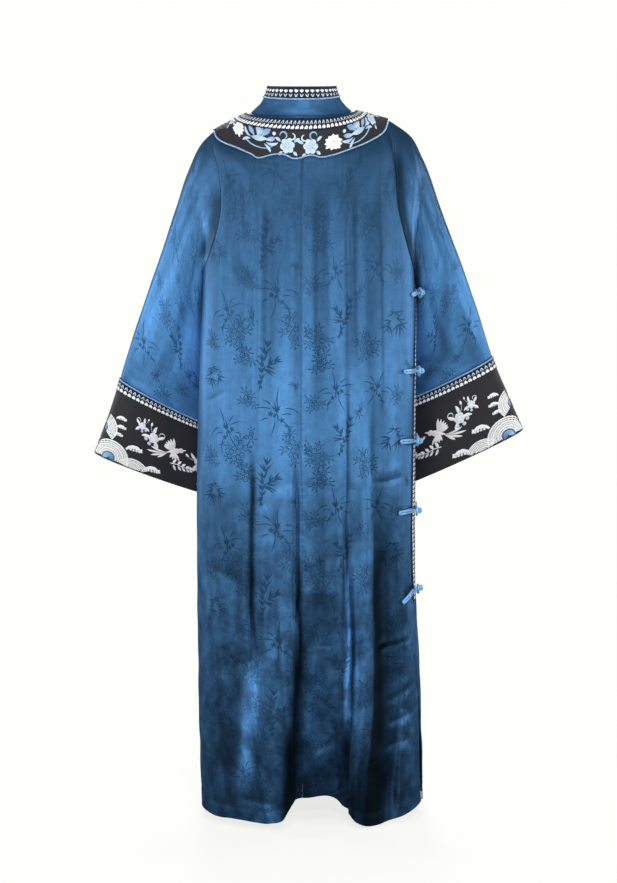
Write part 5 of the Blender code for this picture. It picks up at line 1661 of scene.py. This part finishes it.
# Motif, span from the centre back or front, level, turn, size, mirrored
YOKE_BACK_CHART = (
    (SPRAY, -194, 33, 20, 0.8, True), (POMPON, -126, 34, -34, 1.15, True), (CURL, -158, 25, -46, 0.9, False),
    (PLUME, -78, 41, -16, 1.22, False), (CURL, -26, 48, 0, 1.22, False), (CURL, 15, 49, 8, 1.22, True),
    (POMPON, 57, 49, 4, 1.2, False), (PLUME, 108, 40, 22, 1.25, True), (CURL, 152, 32, 40, 1.1, False),
    (SPRAY, 182, 27, 60, 0.9, True),
)
YOKE_FRONT_CHART = (
    (PLUME, -112, 42, -22, 1.0, False), (POMPON, -66, 50, 0, 1.0, False), (CURL, -30, 53, -8, 1.0, True),
    (CURL, 14, 53, 0, 1.0, False), (PLUME, 62, 48, 10, 1.0, True), (POMPON, 106, 43, 12, 0.95, False),
    (CURL, 138, 36, 30, 0.9, True), (SPRAY, -148, 34, -10, 0.8, True),
)
# Motif, distance round from the outer line, distance up from the hem, turn, size, mirrored
CUFF_CHART = (
    (PALE_SPRAY, 78, 92, 14, 0.8, False), (PALE_SPRAY, 108, 78, -24, 1.15, True),
    (BIRD, 152, 66, 12, 1.7, False), (SPRIG, 176, 42, -28, 1.5, False),
    (PALE_SPRAY, 216, 62, 30, 1.2, True), (SPRIG, 258, 72, -22, 1.5, False),
    (POMPON, 312, 72, 0, 1.35, False), (SPRIG, 352, 58, 16, 1.6, True),
    (PALE_SPRAY, 392, 78, 0, 1.2, False), (BIRD, 440, 64, -8, 1.7, True),
    (PALE_SPRAY, 486, 84, -14, 1.1, True),
)
CUFF_CHART_ROUND = 560.0  # the length round a cuff for which these are charted
HEM_MARGIN = 1.6  # how far the needlework stays above the cuff's hem
# Waves: distance round, how far above the hem their middle is, size
CUFF_WAVES = (
    (2, 56, 1.2), (84, -8, 1.25), (34, 6, 1.45), (312, -8, 1.0), (268, -2, 1.2), (430, -6, 1.1),
    (560, 56, 1.2), (530, 6, 1.45),
)
CUFF_CRESTS = (
    (34, 88, 0.7, False), (39, 72, 0.66, False), (38, 56, 0.6, False), (76, 42, 1.05, False),
    (120, 15, 1.05, False), (232, 18, 1.05, True), (346, 12, 1.0, False), (392, 12, 1.0, True),
    (488, 40, 1.05, True), (526, 84, 0.7, True),
)


def lay_out(chart):
    """The motifs of a chart stamped, each at its place, with its turn and size, and perhaps mirrored."""
    shapes = Shapes()
    for shape, x, y, turn, size, flip in chart:
        shapes.stamp(shape, x, y, turn, size, flip)
    return shapes


def make_embroidery():
    for name, wrap, chart in (("yoke_back", BACK, YOKE_BACK_CHART), ("yoke_front", FRONT, YOKE_FRONT_CHART)):
        shapes = lay_out([(shape, span, -level, *more) for shape, span, level, *more in chart])

        def on_band(x, y, lift):
            angle = wrap.angle(x, -y)
            normal = normal_of(body_point, angle, -y, -1)
            return body_point(angle, -y) + normal * (lift + YOKE_LIFT + YOKE_WALL)[..., None], normal

        add_needlework("embroidery_" + name, shapes, on_band)
    waves = [(WAVE, across, up, 0, size, False) for across, up, size in CUFF_WAVES]
    crests = [(CREST, across, up, 0, size, flip) for across, up, size, flip in CUFF_CRESTS]
    whole_chart = (*waves, *crests, *CUFF_CHART)
    for side, arm in ARMS.items():
        chart = [(each[0], each[1] * arm.round / CUFF_CHART_ROUND, *each[2:]) for each in whole_chart]
        shapes = lay_out([(lay_out(chart).done(), 0, 0, 0.0, 1.0, side == "right")])
        place = lambda x, y, lift: arm.place(arm.turn(x), arm.end - y, lift)
        keep = lambda x, y: (y > HEM_MARGIN) & arm.inside(x, 1)
        add_needlework("embroidery_cuff_" + side, shapes, place, keep, "black_satin")


# Frog closures


def walk(surface, u, v, direction, distance, steps=4):
    """The parameters reached from u, v after a walk on a surface, in a direction given in space."""
    for step in range(steps):
        along_u = (surface(u + 0.4, v) - surface(u - 0.4, v)) / 0.8
        along_v = (surface(u, v + 0.4) - surface(u, v - 0.4)) / 0.8
        pairs = (along_u, along_u), (along_u, along_v), (along_v, along_v)
        uu, uv, vv = ((p * q).sum(-1) for p, q in pairs)
        bu, bv = (along_u * direction).sum(-1), (along_v * direction).sum(-1)
        share = distance / steps / (uu * vv - uv * uv)
        u, v = u + (bu * vv - bv * uv) * share, v + (bv * uu - bu * uv) * share
    return u, v


def opening_frame(level, slant=0.0):
    """The angle at the opening, and unit directions down it and out over the front, turned by slant."""
    angle = opening_angle(level)
    below, above = (body_point(opening_angle(at), at) for at in (level + 1.0, level - 1.0))
    along = unit(below - above)
    over = np.cross(normal_of(body_point, angle, level, -1), along)
    c, s = math.cos(math.radians(slant)), math.sin(math.radians(slant))
    return angle, along * c - over * s, over * c + along * s


def frog_path(level, slant, tilt, along, lift):
    """Points over the cloth along a frog: distances from the opening are less than 0 over the front."""
    level = np.array([float(level)])
    angle, down, over = opening_frame(level, slant)
    aim = over * math.cos(math.radians(tilt)) + down * math.sin(math.radians(tilt))
    points, normals = [], []
    for size, height in zip(along, lift):
        u, v = walk(body_point, angle, level, -aim, size)
        normal = normal_of(body_point, u, v, -1)
        points.append((body_point(u, v) + normal * height)[0])
        normals.append(normal[0])
    return np.array(points), np.array(normals), down[0]


def soft_line(points, count):
    """A smooth line through a few points."""
    length = lengths(points)
    at = np.linspace(0, length[-1], count)
    return np.stack([smooth(at, length, points[:, k]) for k in range(3)], axis=1)


KNOT_RADIUS, KNOT_CORD = 3.5, 1.75
STRAP_CORD, BAR_CORD = 2.15, 0.42
# A frog's ball half: distances from the opening and heights over the cloth, and the same for the knot
BALL_PATH = (43.0, 30.0, 18.0, 10.0, 5.0, 2.4), (1.9, 1.9, 2.0, 2.4, 5.4, 9.5)
KNOT_PLACE = -1.2, 14.2
CHEST_FROG_SUNK = 0.25  # how far the chest frog lies in the soft cloth


def soft_leans(leans, count):
    """The same for directions, which may be alike, so each is moved by a hair."""
    return unit(soft_line(leans + 1e-6 * np.arange(len(leans))[:, None], count))


def knot(centre, axis, side):
    """A ball knot: one cord that goes three times round while it rises and falls four times."""
    t = np.linspace(0, 2 * math.pi, 145)[:-1]
    latitude = 0.98 * np.sin(4 * t)
    around = 3 * t
    reach = KNOT_RADIUS + 0.55 * np.cos(8 * t + 0.6)
    up = np.cross(axis, side)
    line = centre + reach[:, None] * (
        np.cos(latitude)[:, None] * (np.cos(around)[:, None] * side + np.sin(around)[:, None] * up)
        + np.sin(latitude)[:, None] * axis
    )
    return tube(line, unit(line - centre), KNOT_CORD, sides=8, closed=True)


def bars(spine, normals, across, places, half, rise):
    """Stitched bars that hold the two cords of a strap together."""
    parts = []
    s = np.linspace(-1, 1, 9)[:, None]
    for share in places:
        i = share * (len(spine) - 1)
        k, t = int(i), i - int(i)
        middle = spine[k] * (1 - t) + spine[k + 1] * t
        line = middle + across[k] * half * s + normals[k] * (rise * np.sqrt(1 - s * s) - 0.6)
        parts.append(tube(line, np.gradient(spine, axis=0)[[k] * 9], BAR_CORD, sides=5))
    return parts


def make_frog(name, level, slant, tilt, under_loop, under_ball):
    """One closure in two halves. The last two values are how thick the trim is below each half."""
    along = np.array(BALL_PATH[0])
    lift = np.array(BALL_PATH[1]) + GAP + under_ball
    hollow = troughs(frog_path(level, slant, tilt, along, lift)[0][:, 0], level, BACK_FOLDS)
    points, normals, down = frog_path(level, slant, tilt, along, lift + 0.3 * hollow)
    line, lean = soft_line(points, 30), soft_line(normals, 30)
    way = unit(np.gradient(line, axis=0))
    across = unit(np.cross(way, lean))
    t = np.linspace(0, 1, len(line))[:, None]
    apart = STRAP_CORD * 1.04 * (1 - 0.62 * ease((t - 0.72) / 0.25))
    cords = np.concatenate([(line - across * apart)[::-1], line[:1] - way[:1] * 1.6, line + across * apart])
    leans = unit(np.concatenate([lean[::-1], lean[:1], lean]))
    radius = STRAP_CORD * (1 - 0.34 * ease((np.concatenate([t[::-1], [[0]], t])[:, 0] - 0.7) / 0.25))
    centre = frog_path(level, slant, tilt, (KNOT_PLACE[0],), (KNOT_PLACE[1] + GAP + under_ball,))[0][0]
    axis = unit(centre - points[-1])
    parts = [tube(cords, leans, radius), knot(centre, axis, unit(np.cross(axis, down)))]
    parts += bars(line, unit(lean), across, (0.02, 0.3, 0.6), STRAP_CORD * 2.0, STRAP_CORD + 0.9)
    add_joined(name + "_ball_cord", parts, frog_cord, "frog", replaces=(name + "_ball",), sharp=0)

    rise = FROG_CORD + under_loop + GAP
    lift = np.array((rise, rise, rise + 0.3, rise + 3.0))
    spine, lean, down = frog_path(level, slant, -tilt, -np.array((FROG_STRAP, 30.0, 16.0, 6.0)), lift)
    side = down * (FROG_CORD + 0.15)
    neck = points[-1] + unit(points[-1] - points[-2]) * 0.4
    away = unit(spine[-1] - neck)
    bend = np.radians(np.linspace(-125, 125, 9))[:, None]
    loop = neck + FROG_LOOP * (-away * np.cos(bend) + down * np.sin(bend))
    corners = np.concatenate([spine - side, loop, spine[::-1] + side])
    leans = np.concatenate([lean, np.repeat(lean[-1:], len(bend), axis=0), lean[::-1]])
    parts = [tube(soft_line(corners, 90), soft_leans(leans, 90), FROG_CORD)]
    spine_line, spine_lean = soft_line(spine, 20), soft_leans(lean, 20)
    spine_across = unit(np.cross(np.gradient(spine_line, axis=0), spine_lean))
    parts += bars(spine_line, spine_lean, spine_across, (0.03, 0.35, 0.7), FROG_CORD * 2.0, FROG_CORD + 0.8)
    add_joined(name + "_loop_cord", parts, frog_cord, "frog", replaces=(name + "_loop",), sharp=0)


def make_frogs():
    ribbon_top = GAP + TRIM_WALL
    yoke_top = YOKE_LIFT + YOKE_WALL + ribbon_top
    for count, turns in enumerate(zip(SIDE_FROG_LEVELS, SIDE_FROG_SLANT, SIDE_FROG_TILT), 1):
        make_frog("side_frog_%d" % count, *turns, ribbon_top, 0.0)
    make_frog("chest_frog", CHEST_FROG_LEVEL, 0.0, 0.0, ribbon_top - CHEST_FROG_SUNK, -CHEST_FROG_SUNK)
    make_frog("neck_frog", NECK_FROG_LEVEL, 0.0, 0.0, yoke_top, yoke_top)


make_body()
make_sleeves()
make_collar()
make_yoke()
make_lapel_ribbon()
make_figures()
make_hearts()
make_embroidery()
make_frogs()


# Camera, light and floor

CAMERA_PLACE, CAMERA_DOWN, CAMERA_LENS = (0.0117, -5.5, 0.42), 10.5, 122.8
FLOOR_LEVEL, FLOOR_SIDES, FLOOR_RINGS = -1.312, 96, (0.5, 3.0, 90.0)
# Name, place, what it points at, width, height and power of each soft light
LIGHTS = (
    ("high", (0.3, -4.3, 1.5), (0.0, 0.0, -0.55), 0.9, 0.6, 88),
    ("top", (0.0, -1.6, 2.6), (0.0, 0.0, -0.4), 1.6, 1.0, 40),
    ("low", (-0.9, -4.3, -0.95), (0.0, 0.0, -0.55), 2.2, 0.6, 84),
    ("back_left", (-3.4, -1.6, -0.3), (0.0, 0.0, -0.4), 0.6, 2.0, 62),
    ("back_right", (3.4, -1.6, -0.3), (0.0, 0.0, -0.4), 0.6, 2.0, 66),
    ("front_high", (-0.3, 4.3, 1.5), (0.0, 0.0, -0.55), 0.9, 0.6, 88),
    ("front_top", (0.0, 1.6, 2.6), (0.0, 0.0, -0.4), 1.6, 1.0, 40),
    ("front_low", (0.9, 4.3, -0.95), (0.0, 0.0, -0.55), 2.2, 0.6, 84),
    ("front_right", (3.4, 1.6, -0.3), (0.0, 0.0, -0.4), 0.6, 2.0, 62),
    ("front_left", (-3.4, 1.6, -0.3), (0.0, 0.0, -0.4), 0.6, 2.0, 66),
)
WORLD_LIGHT = 0.03  # how much the white round it lights the cloth
BACKDROP = (0.991, 1.0, 0.956, 1)


def make_camera_and_lights():
    scene = bpy.context.scene
    data = bpy.data.cameras.new("camera")
    data.sensor_fit, data.sensor_height, data.lens = "VERTICAL", 36.0, CAMERA_LENS
    camera = bpy.data.objects.new("camera", data)
    camera.location = CAMERA_PLACE
    camera.rotation_euler = (math.radians(90 - CAMERA_DOWN), 0, 0)
    scene.collection.objects.link(camera)
    scene.camera = camera
    scene.view_settings.view_transform = "Standard"
    for name, place, aim, width, height, power in LIGHTS:
        light = bpy.data.lights.new(name, "AREA")
        light.shape, light.size, light.size_y, light.energy = "RECTANGLE", width, height, power
        lamp = bpy.data.objects.new(name, light)
        lamp.location = place
        x, y, z = np.array(aim) - np.array(place)
        lamp.rotation_euler = (math.atan2(math.hypot(x, y), -z), 0, math.atan2(-x, y))
        scene.collection.objects.link(lamp)
    scene.world = bpy.data.worlds.new("studio")
    scene.world.use_nodes = True
    tree = scene.world.node_tree
    white = tree.nodes["Background"]
    white.inputs["Color"].default_value = BACKDROP
    seen = node(tree, "LightPath").outputs["Is Camera Ray"]
    strength = node(tree, "MapRange", {"Value": seen, "To Min": WORLD_LIGHT, "To Max": 1.0}).outputs[0]
    tree.links.new(strength, white.inputs["Strength"])


def make_floor():
    """A floor that is pale near the cloth and fades into the white round it."""
    material = bpy.data.materials.new("floor")
    material.use_nodes = True
    tree = material.node_tree
    shader = tree.nodes["Principled BSDF"]
    shader.inputs["Base Color"].default_value = (0.92, 0.92, 0.92, 1)
    shader.inputs["Roughness"].default_value = 0.9
    shader.inputs["Specular IOR Level"].default_value = 0.1
    white = node(tree, "Emission", {"Color": BACKDROP, "Strength": 1.0}).outputs[0]
    place = node(tree, "NewGeometry").outputs["Position"]
    flat_place = node(tree, "VectorMath", {0: place, 1: (1, 1, 0)}, operation="MULTIPLY").outputs[0]
    far = node(tree, "VectorMath", {0: flat_place}, operation="LENGTH").outputs["Value"]
    inputs = {"Value": far, "From Min": 0.15, "From Max": 0.8, "To Min": 0.78}
    share = node(tree, "MapRange", inputs, interpolation_type="SMOOTHSTEP").outputs[0]
    mixed = node(tree, "MixShader", {0: share, 1: shader.outputs[0], 2: white}).outputs[0]
    tree.links.new(mixed, tree.nodes["Material Output"].inputs["Surface"])
    mesh = bpy.data.meshes.new("floor")
    turns = np.linspace(0, 2 * math.pi, FLOOR_SIDES + 1)[:-1]
    points = [(r * math.cos(t), r * math.sin(t), FLOOR_LEVEL) for r in FLOOR_RINGS for t in turns]
    _, faces = grid_faces(len(FLOOR_RINGS), FLOOR_SIDES, closed=True)
    mesh.from_pydata(points, [], [list(range(FLOOR_SIDES))] + faces.tolist())
    mesh.materials.append(material)
    floor = bpy.data.objects.new("floor", mesh)
    floor.visible_diffuse = floor.visible_glossy = False
    bpy.context.scene.collection.objects.link(floor)


make_camera_and_lights()
make_floor()
